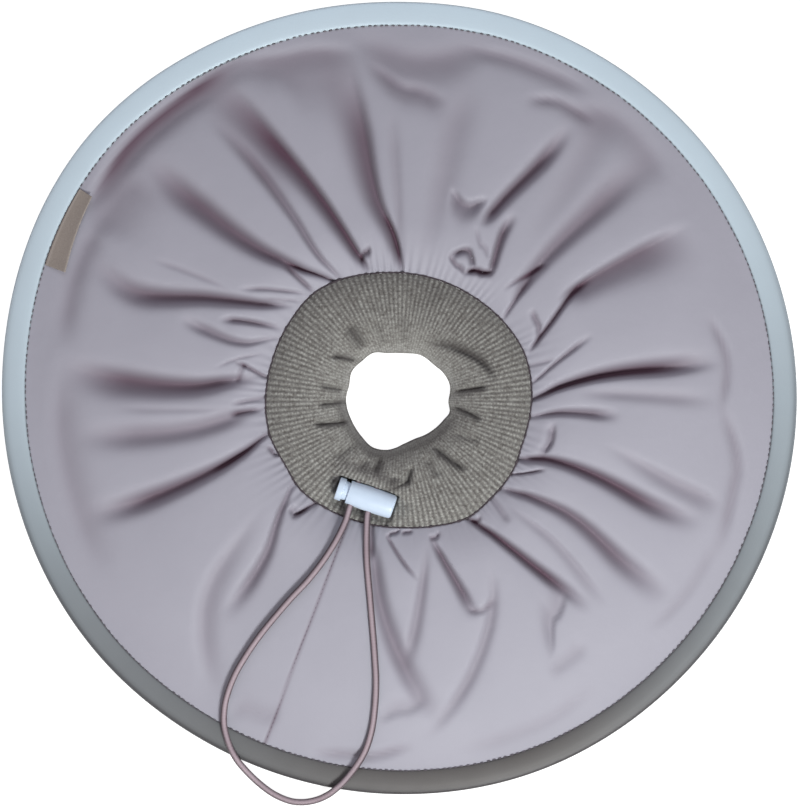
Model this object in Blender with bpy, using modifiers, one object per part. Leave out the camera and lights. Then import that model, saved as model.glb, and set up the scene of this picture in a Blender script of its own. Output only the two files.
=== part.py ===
"""Soft recovery cone for a small pet, lying flat on its rim.

Seven pieces: a gathered cloth wall, the reflective tape folded round its rim, a rib-knit neck
cuff, a drawcord with a two-piece cord lock, and a small woven tag.

Metres, +Z up. The origin is on the floor under the middle of the rim, and +Y points away from the
cord. A bearing is an angle in degrees, anticlockwise from +X, seen from above.
"""

import math
from bisect import bisect_right
from collections import namedtuple

import bmesh
import bpy
from mathutils import Matrix, Vector

# Rim and its folded tape
RIM_RADIUS = 0.1800
BINDING_WIDTH = 0.0113
TAPE_THICKNESS = 0.0009
TAPE_FOLD_RADIUS = 0.0008

# Cloth wall of the cone
WALL_THICKNESS = 0.0016
DOME_HEIGHT = 0.0200
SEAM_RADIUS = 0.0590
SEAM_HEIGHT = 0.0148
FOLD_DEPTH = 0.0075
FOLD_WIDTH = 0.0060

# Rib-knit cuff
CUFF_THICKNESS = 0.0030
CUFF_HEIGHT = 0.0180
NECK_RADIUS = 0.0227
NECK_EDGE_HEIGHT = 0.0026
PLEAT_DEPTH = 0.0022
PLEAT_WIDTH = 0.0028

# Cord lock: its barrel lies along the cuff, with the button's head at its open end. LOCK_MOUTH is
# how far that end lies from the point of the cuff at LOCK_BEARING and LOCK_PLACE.
LOCK_BEARING = 250.8
LOCK_PLACE = 0.336
LOCK_BED_HEIGHT = 0.0125
LOCK_MOUTH = 0.0082
BARREL_LENGTH = 0.0217
BARREL_DIAMETER = 0.0115
BARREL_END_DIAMETER = 0.0107
BARREL_EDGE = 0.0007
STEM_DIAMETER = 0.0062
STEM_LENGTH = 0.0156
END_WALL = 0.0024
HEAD_DIAMETER = 0.0105
HEAD_LENGTH = 0.0030
BUTTON_TRAVEL = 0.0020
HEAD_GAP = 0.0023
CORD_HOLES = (0.0028, 0.0114)

# Bed that the lock presses into the cuff, and the roll of knit behind it
BED_END_MARGIN = 0.0050
BED_END_FADE = 0.0060
BED_FRONT_MARGIN = 0.0015
BED_FRONT_FADE = 0.0025
ROLL_RISE = 0.0018
ROLL_WIDTH = 0.0045
ROLL_CREST_WIDTH = 0.0010
ROLL_FACE_RUN = 0.0026

# Woven tag in the binding seam
TAG_BEARINGS = (146.7, 159.3)
TAG_WIDTHS = (0.0068, 0.0100)
TAG_THICKNESS = 0.0009

# Drawcord
CORD_DIAMETER = 0.0030
CORD_SIDES_RESOLUTION = 2
CORD_STEP_DIAMETERS = 1.9

# Clearances between neighbouring pieces
GAP = 0.0003
SEAM_GAP = 0.0008
TAG_GAP = 0.0005
CORD_CLEARANCE = 0.0004
GROOVE_CLEARANCE = 0.0008

# The rim tape holds the wall's edge in its fold
RIM_HEIGHT = 2 * TAPE_THICKNESS + 2 * GAP + WALL_THICKNESS
EDGE_TOP = TAPE_THICKNESS + GAP + WALL_THICKNESS

# Bearings and radii as shares of the named radius, one row for each place round the ring
RingRow = namedtuple("RingRow", "bearing share")
RIM_ROWS = [RingRow(*row) for row in (
    (0, 1.002), (30, 1.001), (60, 1.003), (75, 1.005), (90, 1.003), (105, 1.009), (120, 1.018),
    (130, 1.026), (140, 1.030), (150, 1.026), (160, 1.018), (170, 1.010), (180, 1.005),
    (195, 1.001), (220, 0.999), (240, 0.995), (270, 0.998), (290, 1.002), (315, 0.999),
    (340, 1.000),
)]
SEAM_ROWS = [RingRow(*row) for row in (
    (0, 1.008), (20, 1.015), (35, 0.992), (55, 0.965), (80, 0.962), (100, 0.981), (120, 1.031),
    (130, 1.046), (145, 1.031), (165, 1.023), (195, 1.035), (210, 1.015), (222, 1.031),
    (235, 1.012), (250, 0.992), (270, 0.985), (285, 1.008), (300, 1.046), (312, 1.031),
    (328, 1.023), (338, 1.000), (350, 1.000),
)]
NECK_ROWS = [RingRow(*row) for row in (
    (0, 0.99), (15, 1.05), (30, 1.03), (45, 0.98), (65, 0.985), (85, 0.935), (105, 0.965),
    (120, 1.08), (135, 1.09), (150, 1.125), (165, 1.07), (180, 1.095), (205, 1.075),
    (225, 1.09), (240, 1.125), (255, 1.07), (265, 0.995), (275, 0.915), (290, 0.865),
    (305, 0.89), (320, 0.93), (335, 0.985), (345, 1.04), (355, 0.99),
)]

# Height of the wall, from the seam at share 0 to the tape's inner edge at share 1
HeightRow = namedtuple("HeightRow", "share height")
DOME_ROWS = [HeightRow(*row) for row in (
    (0.0, 1.0), (0.22, 1.0), (0.35, 0.95), (0.50, 0.84), (0.65, 0.67), (0.78, 0.46),
    (0.88, 0.25), (0.96, 0.07), (1.0, 0.0),
)]
SEAM_DROP_END = 0.20

# Height of the cuff, from the seam at share 0 to the edge of the neck hole at share 1
CUFF_ROWS = [HeightRow(*row) for row in (
    (0.0, 1.0), (0.45, 1.0), (0.60, 0.96), (0.70, 0.88), (0.80, 0.73), (0.88, 0.54),
    (0.94, 0.34), (1.0, 0.0),
)]
CUFF_DROP_END = 0.30

# The wall's folds, anticlockwise. root, knee, waist and rim are the bearings of a valley at the
# seam, at two shares of the wall's width, and at the tape. start and end are shares of that width,
# depth and width are shares of FOLD_DEPTH and FOLD_WIDTH.
Fold = namedtuple("Fold", "root knee waist rim start end depth width")
KNEE_SHARE = 0.22
WAIST_SHARE = 0.50
FOLDS = [Fold(*row) for row in (
    (-1.0, 5.5, 6.0, 6.5, 0.00, 0.78, 1.00, 1.0),
    (6.0, 17.0, 17.5, 17.0, 0.00, 0.26, 0.35, 0.6),
    (20.0, 29.0, 30.2, 28.0, 0.00, 0.82, 0.85, 1.0),
    (37.5, 43.0, 43.0, 40.5, 0.00, 0.88, 0.70, 0.9),
    (49.0, 57.0, 54.0, 50.0, 0.00, 0.34, 0.60, 0.7),
    (60.0, 64.5, 59.5, 57.0, 0.16, 0.76, 0.90, 1.1),
    (70.0, 73.0, 70.0, 68.0, 0.03, 0.32, 0.30, 1.0),
    (83.0, 83.5, 79.5, 77.0, 0.08, 0.85, 0.40, 1.2),
    (89.5, 94.3, 97.0, 99.0, 0.00, 0.86, 0.95, 1.0),
    (103.0, 109.0, 114.0, 118.3, 0.00, 0.92, 0.85, 1.1),
    (114.0, 120.0, 121.5, 124.0, 0.00, 0.72, 0.40, 0.6),
    (121.5, 131.5, 136.0, 137.5, 0.00, 0.85, 1.00, 1.1),
    (131.5, 142.0, 144.5, 146.0, 0.00, 0.22, 0.30, 0.6),
    (140.0, 148.5, 156.0, 157.0, 0.00, 0.82, 0.90, 1.0),
    (151.5, 160.0, 163.0, 163.0, 0.00, 0.32, 0.40, 0.7),
    (161.0, 168.0, 169.5, 169.0, 0.00, 0.22, 0.25, 0.7),
    (170.5, 174.8, 176.0, 175.5, 0.04, 0.80, 0.90, 1.4),
    (184.0, 187.0, 188.3, 187.0, 0.03, 0.75, 0.60, 1.2),
    (193.5, 200.7, 202.5, 201.0, 0.00, 0.80, 1.00, 1.2),
    (206.0, 217.0, 223.0, 228.0, 0.24, 0.80, 0.30, 1.2),
    (217.5, 227.0, 231.3, 232.5, 0.00, 0.60, 0.70, 1.0),
    (229.0, 236.0, 238.0, 240.0, 0.00, 0.18, 0.30, 0.6),
    (246.8, 247.8, 248.2, 248.6, 0.00, 0.98, 0.10, 0.3),
    (256.0, 262.3, 267.0, 273.5, 0.00, 0.72, 0.65, 1.0),
    (264.5, 270.0, 270.6, 275.5, 0.00, 0.18, 0.30, 0.6),
    (276.5, 276.6, 274.4, 277.5, 0.02, 0.42, 0.35, 0.8),
    (283.0, 287.0, 288.0, 279.5, 0.00, 0.42, 0.70, 0.8),
    (291.0, 295.5, 291.8, 282.0, 0.26, 0.76, 0.70, 1.1),
    (299.5, 306.5, 311.0, 311.5, 0.00, 0.66, 0.90, 1.3),
    (309.5, 315.8, 316.5, 316.5, 0.02, 0.60, 0.35, 0.9),
    (317.0, 325.0, 324.6, 323.5, 0.00, 0.82, 0.95, 1.0),
    (325.0, 332.0, 331.5, 330.5, 0.00, 0.16, 0.25, 0.6),
    (332.5, 338.2, 337.8, 337.0, 0.00, 0.80, 0.95, 1.0),
    (350.0, 355.3, 354.8, 354.0, 0.00, 0.30, 0.45, 0.7),
)]
# A fold that starts away from the seam grows over FOLD_RISE of the wall's width, and every fold
# begins to fade past FADE_START of its length
FOLD_RISE = 0.07
FADE_START = 0.40
WIDE_SPACING = 10.5

# The cuff's creases. Each runs from its outer to its inner end; bearings in degrees, ends as
# shares of the cuff's width, depth as a share of PLEAT_DEPTH.
Crease = namedtuple("Crease", "outer_bearing inner_bearing outer inner depth")
CREASES = [Crease(*row) for row in (
    (6.5, 6.5, 0.55, 0.95, 0.8),
    (12.0, 62.0, 0.38, 0.84, 0.8),
    (40.0, 36.0, 0.70, 1.00, 0.5),
    (88.0, 86.0, 0.60, 1.00, 0.8),
    (108.0, 106.0, 0.62, 1.00, 0.6),
    (127.5, 127.5, 0.52, 0.90, 0.6),
    (143.5, 143.5, 0.62, 0.95, 0.6),
    (167.0, 167.0, 0.66, 1.00, 0.6),
    (184.0, 184.0, 0.64, 0.95, 0.6),
    (199.5, 199.5, 0.60, 0.98, 0.9),
    (218.0, 220.0, 0.62, 1.00, 0.6),
    (237.0, 239.0, 0.64, 0.98, 1.0),
    (262.0, 264.0, 0.62, 0.98, 1.0),
    (285.0, 283.0, 0.60, 0.98, 0.7),
    (307.0, 307.0, 0.52, 0.98, 0.9),
    (328.0, 326.0, 0.62, 1.00, 0.6),
    (349.0, 349.0, 0.58, 0.98, 0.9),
)]
CUFF_COLUMNS = 60

# The drawcord's route in metres, chosen by hand: out of the cuff behind the lock, through one hole
# of the lock, over the wall and the rim, round on the floor, and back through the other hole
CORD_ROUTE = [
    (-0.0186, -0.0370, 0.01855),
    (-0.0207, -0.0429, 0.01855),
    (-0.0220, -0.0467, 0.01855),
    (-0.0229, -0.0493, 0.01855),
    (-0.0246, -0.0550, 0.0188),
    (-0.0288, -0.0637, 0.0209),
    (-0.0345, -0.0727, 0.0218),
    (-0.0416, -0.0818, 0.0216),
    (-0.0491, -0.0898, 0.0208),
    (-0.0572, -0.0992, 0.0194),
    (-0.0633, -0.1068, 0.0179),
    (-0.0695, -0.1158, 0.0155),
    (-0.0747, -0.1248, 0.0128),
    (-0.0785, -0.1347, 0.0094),
    (-0.0799, -0.1428, 0.0069),
    (-0.0796, -0.1495, 0.0059),
    (-0.0774, -0.1572, 0.0059),
    (-0.0749, -0.1622, 0.0059),
    (-0.0719, -0.1665, 0.0046),
    (-0.0652, -0.1736, 0.0019),
    (-0.0577, -0.1793, 0.0018),
    (-0.0501, -0.1826, 0.0018),
    (-0.0439, -0.1832, 0.0018),
    (-0.0378, -0.1821, 0.0019),
    (-0.0326, -0.1796, 0.0040),
    (-0.0290, -0.1768, 0.0058),
    (-0.0255, -0.1736, 0.0059),
    (-0.0198, -0.1665, 0.0060),
    (-0.0155, -0.1589, 0.0081),
    (-0.0127, -0.1495, 0.0111),
    (-0.0113, -0.1390, 0.0141),
    (-0.0108, -0.1277, 0.0166),
    (-0.0114, -0.1154, 0.0181),
    (-0.0124, -0.1031, 0.0190),
    (-0.0136, -0.0888, 0.0203),
    (-0.0148, -0.0746, 0.0207),
    (-0.0151, -0.0633, 0.0192),
    (-0.0147, -0.0530, 0.0186),
    (-0.0140, -0.0498, 0.01855),
    (-0.0125, -0.0457, 0.01855),
    (-0.0105, -0.0398, 0.01855),
]

TURN = 360.0


def smooth_curve(xs, ys, x):
    """Value at x of the smooth curve through the points (xs, ys), constant beyond its ends."""
    if x <= xs[0]:
        return ys[0]
    if x >= xs[-1]:
        return ys[-1]
    left = bisect_right(xs, x) - 1
    right = left + 1

    def slope(index):
        before = max(index - 1, 0)
        after = min(index + 1, len(xs) - 1)
        return (ys[after] - ys[before]) / (xs[after] - xs[before])

    span = xs[right] - xs[left]
    t = (x - xs[left]) / span
    return (
        ys[left] * (1 - t) ** 2 * (1 + 2 * t)
        + ys[right] * t ** 2 * (3 - 2 * t)
        + slope(left) * span * t * (1 - t) ** 2
        - slope(right) * span * t ** 2 * (1 - t)
    )


def ring_share(rows, bearing):
    """A ring table's share at a bearing, smooth all the way round."""
    turned = bearing % TURN
    xs = [row.bearing + lap * TURN for lap in (-1, 0, 1) for row in rows]
    ys = [row.share for row in rows] * 3
    return smooth_curve(xs, ys, turned)


def height_share(rows, share):
    return smooth_curve([row.share for row in rows], [row.height for row in rows], share)


def smooth_step(value):
    held = min(max(value, 0.0), 1.0)
    return held * held * (3 - 2 * held)


def bearing_difference(first, second):
    """Signed difference of two bearings, from -180 to 180 degrees."""
    return (first - second + TURN / 2) % TURN - TURN / 2


def polar(radius, bearing, height):
    angle = math.radians(bearing)
    return Vector((radius * math.cos(angle), radius * math.sin(angle), height))


def rim_edge(bearing):
    return RIM_RADIUS * ring_share(RIM_ROWS, bearing)


def tape_inner_edge(bearing):
    return rim_edge(bearing) - BINDING_WIDTH


def seam_edge(bearing):
    return SEAM_RADIUS * ring_share(SEAM_ROWS, bearing)


def neck_edge(bearing):
    return NECK_RADIUS * ring_share(NECK_ROWS, bearing)


def wall_radius(bearing, share):
    inner = seam_edge(bearing) + SEAM_GAP / 2
    return inner + (tape_inner_edge(bearing) - inner) * share


def fold_bearing(fold, share):
    """Bearing of a fold's valley at a share of the wall's width."""
    shares = (0.0, KNEE_SHARE, WAIST_SHARE, 1.0)
    return smooth_curve(shares, (fold.root, fold.knee, fold.waist, fold.rim), share)


def fold_strength(fold, share):
    """How deep a fold is at a share of the wall's width: 1 is its full depth."""
    length = fold.end - fold.start
    from_seam = 1 - max(0.0, 1 - share / SEAM_DROP_END) ** 2
    grown = smooth_step((share - fold.start + FOLD_RISE) / FOLD_RISE)
    faded = smooth_step((share - fold.start - FADE_START * length) / ((1 - FADE_START) * length))
    return from_seam * grown * (1 - faded)


def fold_dip(bearing, share):
    """Depth that the folds press into the wall at one place."""
    radius = wall_radius(bearing, share)
    dip = 0.0
    for fold in FOLDS:
        across = radius * math.radians(bearing_difference(bearing, fold_bearing(fold, share)))
        half_width = FOLD_WIDTH * fold.width * (0.25 + share)
        dip += fold.depth * fold_strength(fold, share) * math.exp(-abs(across / half_width) ** 1.5)
    return FOLD_DEPTH * dip


def dome_height(share):
    dome = EDGE_TOP + (DOME_HEIGHT - EDGE_TOP) * height_share(DOME_ROWS, share)
    drop = (DOME_HEIGHT - SEAM_HEIGHT) * max(0.0, 1 - share / SEAM_DROP_END) ** 2
    return dome - drop


def wall_top(bearing, share):
    """Height of the wall's upper face."""
    return dome_height(share) - fold_dip(bearing, share)


def lock_distance():
    """Distance of the lock's middle from the neck's axis."""
    outer = seam_edge(LOCK_BEARING)
    return outer - (outer - neck_edge(LOCK_BEARING)) * LOCK_PLACE


def lock_axis_height():
    return LOCK_BED_HEIGHT + GAP + BARREL_DIAMETER / 2


def cuff_radius(bearing, share):
    outer = seam_edge(bearing) - SEAM_GAP / 2
    return outer + (neck_edge(bearing) - outer) * share


def crease_dip(bearing, share):
    """Depth that the creases press into the cuff at one place."""
    radius = cuff_radius(bearing, share)
    dip = 0.0
    for crease in CREASES:
        along = (share - crease.outer) / (crease.inner - crease.outer)
        if not 0.0 < along < 1.0:
            continue
        middle = crease.outer_bearing + (crease.inner_bearing - crease.outer_bearing) * along
        across = radius * math.radians(bearing_difference(bearing, middle))
        strength = math.sin(math.pi * along)
        dip += crease.depth * strength * math.exp(-abs(across / PLEAT_WIDTH) ** 1.6)
    return PLEAT_DEPTH * dip


def ramp(value, full, none):
    """1 up to the value full, falling smoothly to 0 at the value none."""
    return 1 - smooth_step((value - full) / (none - full))


def cuff_top(bearing, share):
    """Height of the cuff's upper face, with the lock's bed and the roll behind the lock."""
    height = NECK_EDGE_HEIGHT + (CUFF_HEIGHT - NECK_EDGE_HEIGHT) * height_share(CUFF_ROWS, share)
    height -= (CUFF_HEIGHT - SEAM_HEIGHT) * max(0.0, 1 - share / CUFF_DROP_END) ** 2
    height -= crease_dip(bearing, share)

    place = polar(cuff_radius(bearing, share), bearing - LOCK_BEARING, 0.0)
    along = abs(place.y)
    outward = place.x - lock_distance()
    bed_side = BARREL_DIAMETER / 2 + GAP
    half_lock = max(LOCK_MOUTH + HEAD_GAP + HEAD_LENGTH, BARREL_LENGTH - LOCK_MOUTH)
    bed_end = half_lock + BED_END_MARGIN
    sideways = ramp(along, bed_end, bed_end + BED_END_FADE) if place.x > 0 else 0.0

    roll_middle = -(bed_side + ROLL_WIDTH)
    roll = ramp(abs(outward - roll_middle), ROLL_CREST_WIDTH, ROLL_WIDTH)
    height += sideways * roll * (lock_axis_height() + ROLL_RISE - height)
    front = bed_side + BED_FRONT_MARGIN
    bed = ramp(outward, front, front + BED_FRONT_FADE)
    bed *= ramp(-outward, bed_side, bed_side + ROLL_FACE_RUN)
    return height + sideways * bed * (LOCK_BED_HEIGHT - height)


def start_afresh():
    for item in list(bpy.data.objects):
        bpy.data.objects.remove(item, do_unlink=True)


def new_collection(name):
    collection = bpy.data.collections.new(name)
    bpy.context.scene.collection.children.link(collection)
    return collection


def material(name, color, roughness, metallic=0.0):
    made = bpy.data.materials.new(name)
    made.use_nodes = True
    shader = made.node_tree.nodes["Principled BSDF"]
    shader.inputs["Base Color"].default_value = (*color, 1.0)
    shader.inputs["Roughness"].default_value = roughness
    shader.inputs["Metallic"].default_value = metallic
    return made


def add_object(name, data, collection, finish=None):
    made = bpy.data.objects.new(name, data)
    collection.objects.link(made)
    if finish is not None:
        data.materials.append(finish)
    return made


def ring_sheet(name, columns, rows, place, collection, finish):
    """A grid bent into a closed ring. place(column, row) gives each corner's position."""
    grid = bmesh.new()
    bmesh.ops.create_grid(grid, x_segments=columns, y_segments=rows, size=0.5)
    for vertex in grid.verts:
        column = round((0.5 - vertex.co.x) * columns) % columns
        row = round((0.5 + vertex.co.y) * rows)
        vertex.co = place(column, row)
    bmesh.ops.remove_doubles(grid, verts=grid.verts, dist=1e-6)
    mesh = bpy.data.meshes.new(name)
    grid.to_mesh(mesh)
    grid.free()
    return add_object(name, mesh, collection, finish)


def thicken(item, thickness):
    """Gives an open surface its thickness, below the face that was modelled."""
    solid = item.modifiers.new("thickness", "SOLIDIFY")
    solid.thickness = thickness
    solid.offset = -1.0
    solid.use_even_offset = False
    item.data.shade_smooth()


def turned_object(name, profile, steps, collection, finish, closed):
    """A profile of (radius, height) points turned about Z, smooth but for its sharp edges."""
    mesh = bpy.data.meshes.new(name)
    points = [(radius, 0.0, height) for radius, height in profile]
    edges = [(index, index + 1) for index in range(len(points) - 1)]
    if closed:
        edges.append((len(points) - 1, 0))
    mesh.from_pydata(points, edges, [])
    made = add_object(name, mesh, collection, finish)
    screw = made.modifiers.new("turn", "SCREW")
    screw.axis = "Z"
    screw.angle = math.radians(TURN)
    screw.steps = steps
    screw.render_steps = steps
    screw.use_merge_vertices = True
    screw.merge_threshold = 1e-5
    return made


def baked(item):
    """Replaces an object's mesh by its evaluated one, and clears its modifiers."""
    evaluated = item.evaluated_get(bpy.context.evaluated_depsgraph_get())
    mesh = bpy.data.meshes.new_from_object(evaluated)
    item.modifiers.clear()
    item.data = mesh
    return mesh


def wall_columns():
    """The wall's mesh columns, as (fold, next fold, share of the way between their valleys)."""
    columns = []
    for index, fold in enumerate(FOLDS):
        following = FOLDS[(index + 1) % len(FOLDS)]
        spacing = bearing_difference(following.knee, fold.knee)
        steps = (0.0, 0.22, 0.5, 0.78) if spacing > WIDE_SPACING else (0.0, 0.3, 0.7)
        columns.extend((fold, following, step) for step in steps)
    return columns


def make_wall(collection, finish):
    """The gathered cloth wall: mesh columns follow the folds from the seam to the tape."""
    columns = wall_columns()
    shares = (0.0, 0.035, 0.09, 0.16, 0.25, 0.36, 0.48, 0.61, 0.74, 0.86, 0.95, 1.0)

    def place(column, row):
        fold, following, step = columns[column]
        share = shares[min(row, len(shares) - 1)]
        start = fold_bearing(fold, share)
        bearing = start + bearing_difference(fold_bearing(following, share), start) * step
        if row < len(shares):
            return polar(wall_radius(bearing, share), bearing, wall_top(bearing, share))
        return polar(rim_edge(bearing) - TAPE_THICKNESS - GROOVE_CLEARANCE, bearing, EDGE_TOP)

    wall = ring_sheet("shell_panel", len(columns), len(shares), place, collection, finish)
    thicken(wall, WALL_THICKNESS)
    return wall


def make_binding(collection, finish):
    """Reflective tape folded round the rim: a ring with a groove that takes the wall's edge."""
    inner = RIM_RADIUS - BINDING_WIDTH
    groove = RIM_RADIUS - TAPE_THICKNESS
    fold = TAPE_FOLD_RADIUS
    profile = [
        (inner, RIM_HEIGHT),
        (RIM_RADIUS - fold, RIM_HEIGHT),
        (RIM_RADIUS, RIM_HEIGHT - fold),
        (RIM_RADIUS, fold),
        (RIM_RADIUS - fold, 0.0),
        (inner, 0.0),
        (inner, TAPE_THICKNESS),
        (groove, TAPE_THICKNESS),
        (groove, RIM_HEIGHT - TAPE_THICKNESS),
        (inner, RIM_HEIGHT - TAPE_THICKNESS),
    ]
    binding = turned_object("rim_binding", profile, 60, collection, finish, closed=True)
    for vertex in baked(binding).vertices:
        radius = math.hypot(vertex.co.x, vertex.co.y)
        bearing = math.degrees(math.atan2(vertex.co.y, vertex.co.x))
        vertex.co = polar(radius + rim_edge(bearing) - RIM_RADIUS, bearing, vertex.co.z)
    binding.data.shade_smooth()
    binding.data.set_sharp_from_angle(angle=math.radians(40))
    return binding


def make_cuff(collection, finish):
    """Rib-knit cuff, from the gathered seam down into the neck hole."""
    width = seam_edge(LOCK_BEARING) - neck_edge(LOCK_BEARING)
    half_bed = BARREL_DIAMETER / 2 + GAP
    shares = (
        0.0,
        0.07,
        LOCK_PLACE - (half_bed + BED_FRONT_MARGIN) / width,
        LOCK_PLACE,
        LOCK_PLACE + half_bed / width,
        LOCK_PLACE + (half_bed + ROLL_FACE_RUN) / width,
        0.70, 0.80, 0.88, 0.95, 1.0,
    )

    def place(column, row):
        bearing = LOCK_BEARING + TURN * column / CUFF_COLUMNS
        share = shares[row]
        return polar(cuff_radius(bearing, share), bearing, cuff_top(bearing, share))

    cuff = ring_sheet("neck_cuff", CUFF_COLUMNS, len(shares) - 1, place, collection, finish)
    for polygon in cuff.data.polygons:
        polygon.flip()
    thicken(cuff, CUFF_THICKNESS)
    return cuff


def lock_frame(collection):
    """An empty at the barrel's mouth, its Z along the barrel, on the button's axis of travel."""
    frame = add_object("lock_frame", None, collection)
    along = math.radians(LOCK_BEARING + 90)
    middle = polar(lock_distance(), LOCK_BEARING, lock_axis_height())
    frame.location = middle - LOCK_MOUTH * Vector((math.cos(along), math.sin(along), 0.0))
    frame.rotation_euler = (0.0, math.radians(90), along)
    return frame


def cut(item, name, mesh_maker, location, cutters, frame):
    """Cuts a shape out of an item by a Boolean with its own hidden cutter."""
    shape = bmesh.new()
    mesh_maker(shape)
    mesh = bpy.data.meshes.new(name)
    shape.to_mesh(mesh)
    shape.free()
    cutter = add_object(name, mesh, cutters)
    cutter.parent = frame
    cutter.location = location
    cutter.hide_render = True
    cutter.display_type = "WIRE"
    difference = item.modifiers.new(name, "BOOLEAN")
    difference.operation = "DIFFERENCE"
    difference.object = cutter


def make_barrel(collection, cutters, frame, finish):
    """Barrel of the cord lock: blind bore for the button's stem, two cross holes for the cord."""
    bore = STEM_DIAMETER / 2 + GAP
    middle = BARREL_DIAMETER / 2
    end = BARREL_END_DIAMETER / 2
    bulge = [
        (end + (middle - end) * (1 - (2 * share - 1) ** 2), BARREL_LENGTH * share)
        for share in (0.75, 0.5, 0.25)
    ]
    profile = [
        (0.0, BARREL_LENGTH),
        (end - BARREL_EDGE, BARREL_LENGTH),
        (end, BARREL_LENGTH - BARREL_EDGE),
        *bulge,
        (end, BARREL_EDGE),
        (end - BARREL_EDGE, 0.0),
        (bore, 0.0),
        (bore, BARREL_LENGTH - END_WALL),
        (0.0, BARREL_LENGTH - END_WALL),
    ]
    barrel = turned_object("lock_barrel", profile, 16, collection, finish, closed=False)
    barrel.parent = frame
    hole = CORD_DIAMETER / 2 + CORD_CLEARANCE

    def cross_hole(shape):
        bmesh.ops.create_cone(
            shape, cap_ends=True, segments=10, radius1=hole, radius2=hole,
            depth=2 * BARREL_DIAMETER, matrix=Matrix.Rotation(math.radians(90), 4, "X"),
        )

    for number, height in enumerate(CORD_HOLES, 1):
        cut(barrel, f"cord_hole_{number}", cross_hole, (0.0, 0.0, height), cutters, frame)
    return barrel


def make_button(collection, cutters, frame, finish):
    """Sprung button of the lock: a head, and a stem with a slot round each strand of the cord."""
    head = HEAD_DIAMETER / 2
    stem = STEM_DIAMETER / 2
    foot = -HEAD_GAP
    profile = [
        (0.0, STEM_LENGTH),
        (stem, STEM_LENGTH),
        (stem, foot),
        (head - BARREL_EDGE, foot),
        (head, foot - BARREL_EDGE),
        (head, foot - HEAD_LENGTH + BARREL_EDGE),
        (head - BARREL_EDGE, foot - HEAD_LENGTH),
        (0.0, foot - HEAD_LENGTH),
    ]
    button = turned_object("lock_button", profile, 16, collection, finish, closed=False)
    button.parent = frame
    clear = CORD_DIAMETER / 2 + GAP
    slot_length = 2 * clear + BUTTON_TRAVEL

    def slot(shape):
        bmesh.ops.create_cube(shape, size=1.0)
        bmesh.ops.scale(shape, verts=shape.verts, vec=(2 * clear, 2 * STEM_DIAMETER, slot_length))

    for number, height in enumerate(CORD_HOLES, 1):
        middle = height + clear - slot_length / 2
        cut(button, f"stem_slot_{number}", slot, (0.0, 0.0, middle), cutters, frame)
    return button


def make_tag(collection, finish):
    """Woven tag: caught in the tape's seam, and lying on the wall."""
    columns = 8
    rows = 2
    grid = bmesh.new()
    bmesh.ops.create_grid(grid, x_segments=columns, y_segments=rows, size=0.5)
    for vertex in grid.verts:
        along = 0.5 - vertex.co.x
        bearing = TAG_BEARINGS[0] + (TAG_BEARINGS[1] - TAG_BEARINGS[0]) * along
        width = TAG_WIDTHS[0] + (TAG_WIDTHS[1] - TAG_WIDTHS[0]) * along
        outer = tape_inner_edge(bearing) - TAG_GAP
        radius = outer - width * (0.5 - vertex.co.y)
        inner = wall_radius(bearing, 0.0)
        share = (radius - inner) / (tape_inner_edge(bearing) - inner)
        height = wall_top(bearing, share) + TAG_GAP + TAG_THICKNESS
        vertex.co = polar(radius, bearing, height)
    mesh = bpy.data.meshes.new("side_label")
    grid.to_mesh(mesh)
    grid.free()
    tag = add_object("side_label", mesh, collection, finish)
    thicken(tag, TAG_THICKNESS)
    return tag


def smooth_route(points, step):
    """Evenly spaced points on a smooth curve through the route's own points."""
    marks = [0.0]
    for first, second in zip(points, points[1:]):
        marks.append(marks[-1] + (Vector(second) - Vector(first)).length)
    count = max(2, round(marks[-1] / step))
    coordinates = list(zip(*points))
    return [
        [smooth_curve(marks, values, marks[-1] * index / count) for values in coordinates]
        for index in range(count + 1)
    ]


def make_cord(collection, finish):
    """Round drawcord: one tube along its whole free length."""
    curve = bpy.data.curves.new("drawcord", "CURVE")
    curve.dimensions = "3D"
    curve.bevel_depth = CORD_DIAMETER / 2
    curve.bevel_resolution = CORD_SIDES_RESOLUTION
    curve.use_fill_caps = True
    route = smooth_route(CORD_ROUTE, CORD_DIAMETER * CORD_STEP_DIAMETERS)
    spline = curve.splines.new("POLY")
    spline.points.add(len(route) - 1)
    for point, place in zip(spline.points, route):
        point.co = (*place, 1.0)
    return add_object("drawcord", curve, collection, finish)


def main():
    start_afresh()
    cone = new_collection("soft_recovery_cone")
    cutters = new_collection("cutters")
    frame = lock_frame(cone)
    lilac_cloth = material("lilac_cloth", (0.43, 0.39, 0.46), 0.75)
    silver_tape = material("silver_tape", (0.45, 0.48, 0.51), 0.35, 0.6)
    grey_knit = material("grey_knit", (0.22, 0.21, 0.18), 0.95)
    white_plastic = material("white_plastic", (0.75, 0.82, 0.90), 0.35)
    mauve_cord = material("mauve_cord", (0.30, 0.24, 0.27), 0.7)
    taupe_ribbon = material("taupe_ribbon", (0.24, 0.21, 0.19), 0.8)
    make_wall(cone, lilac_cloth)
    make_binding(cone, silver_tape)
    make_cuff(cone, grey_knit)
    make_cord(cone, mauve_cord)
    make_barrel(cone, cutters, frame, white_plastic)
    make_button(cone, cutters, frame, white_plastic)
    make_tag(cone, taupe_ribbon)


main()
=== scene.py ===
# %% [markdown]
# # A soft recovery cone, lying flat
# This lesson dresses a small pet's recovery cone: a gathered cloth wall, reflective tape folded
# round its rim, a rib-knit cuff for the neck, and a drawcord that runs through a sprung lock.
# The solid model comes first and stays fixed. Every piece made here lies where that model says.

import math
from collections import namedtuple

import bpy
import numpy as np
from mathutils import Matrix, Vector


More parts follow.
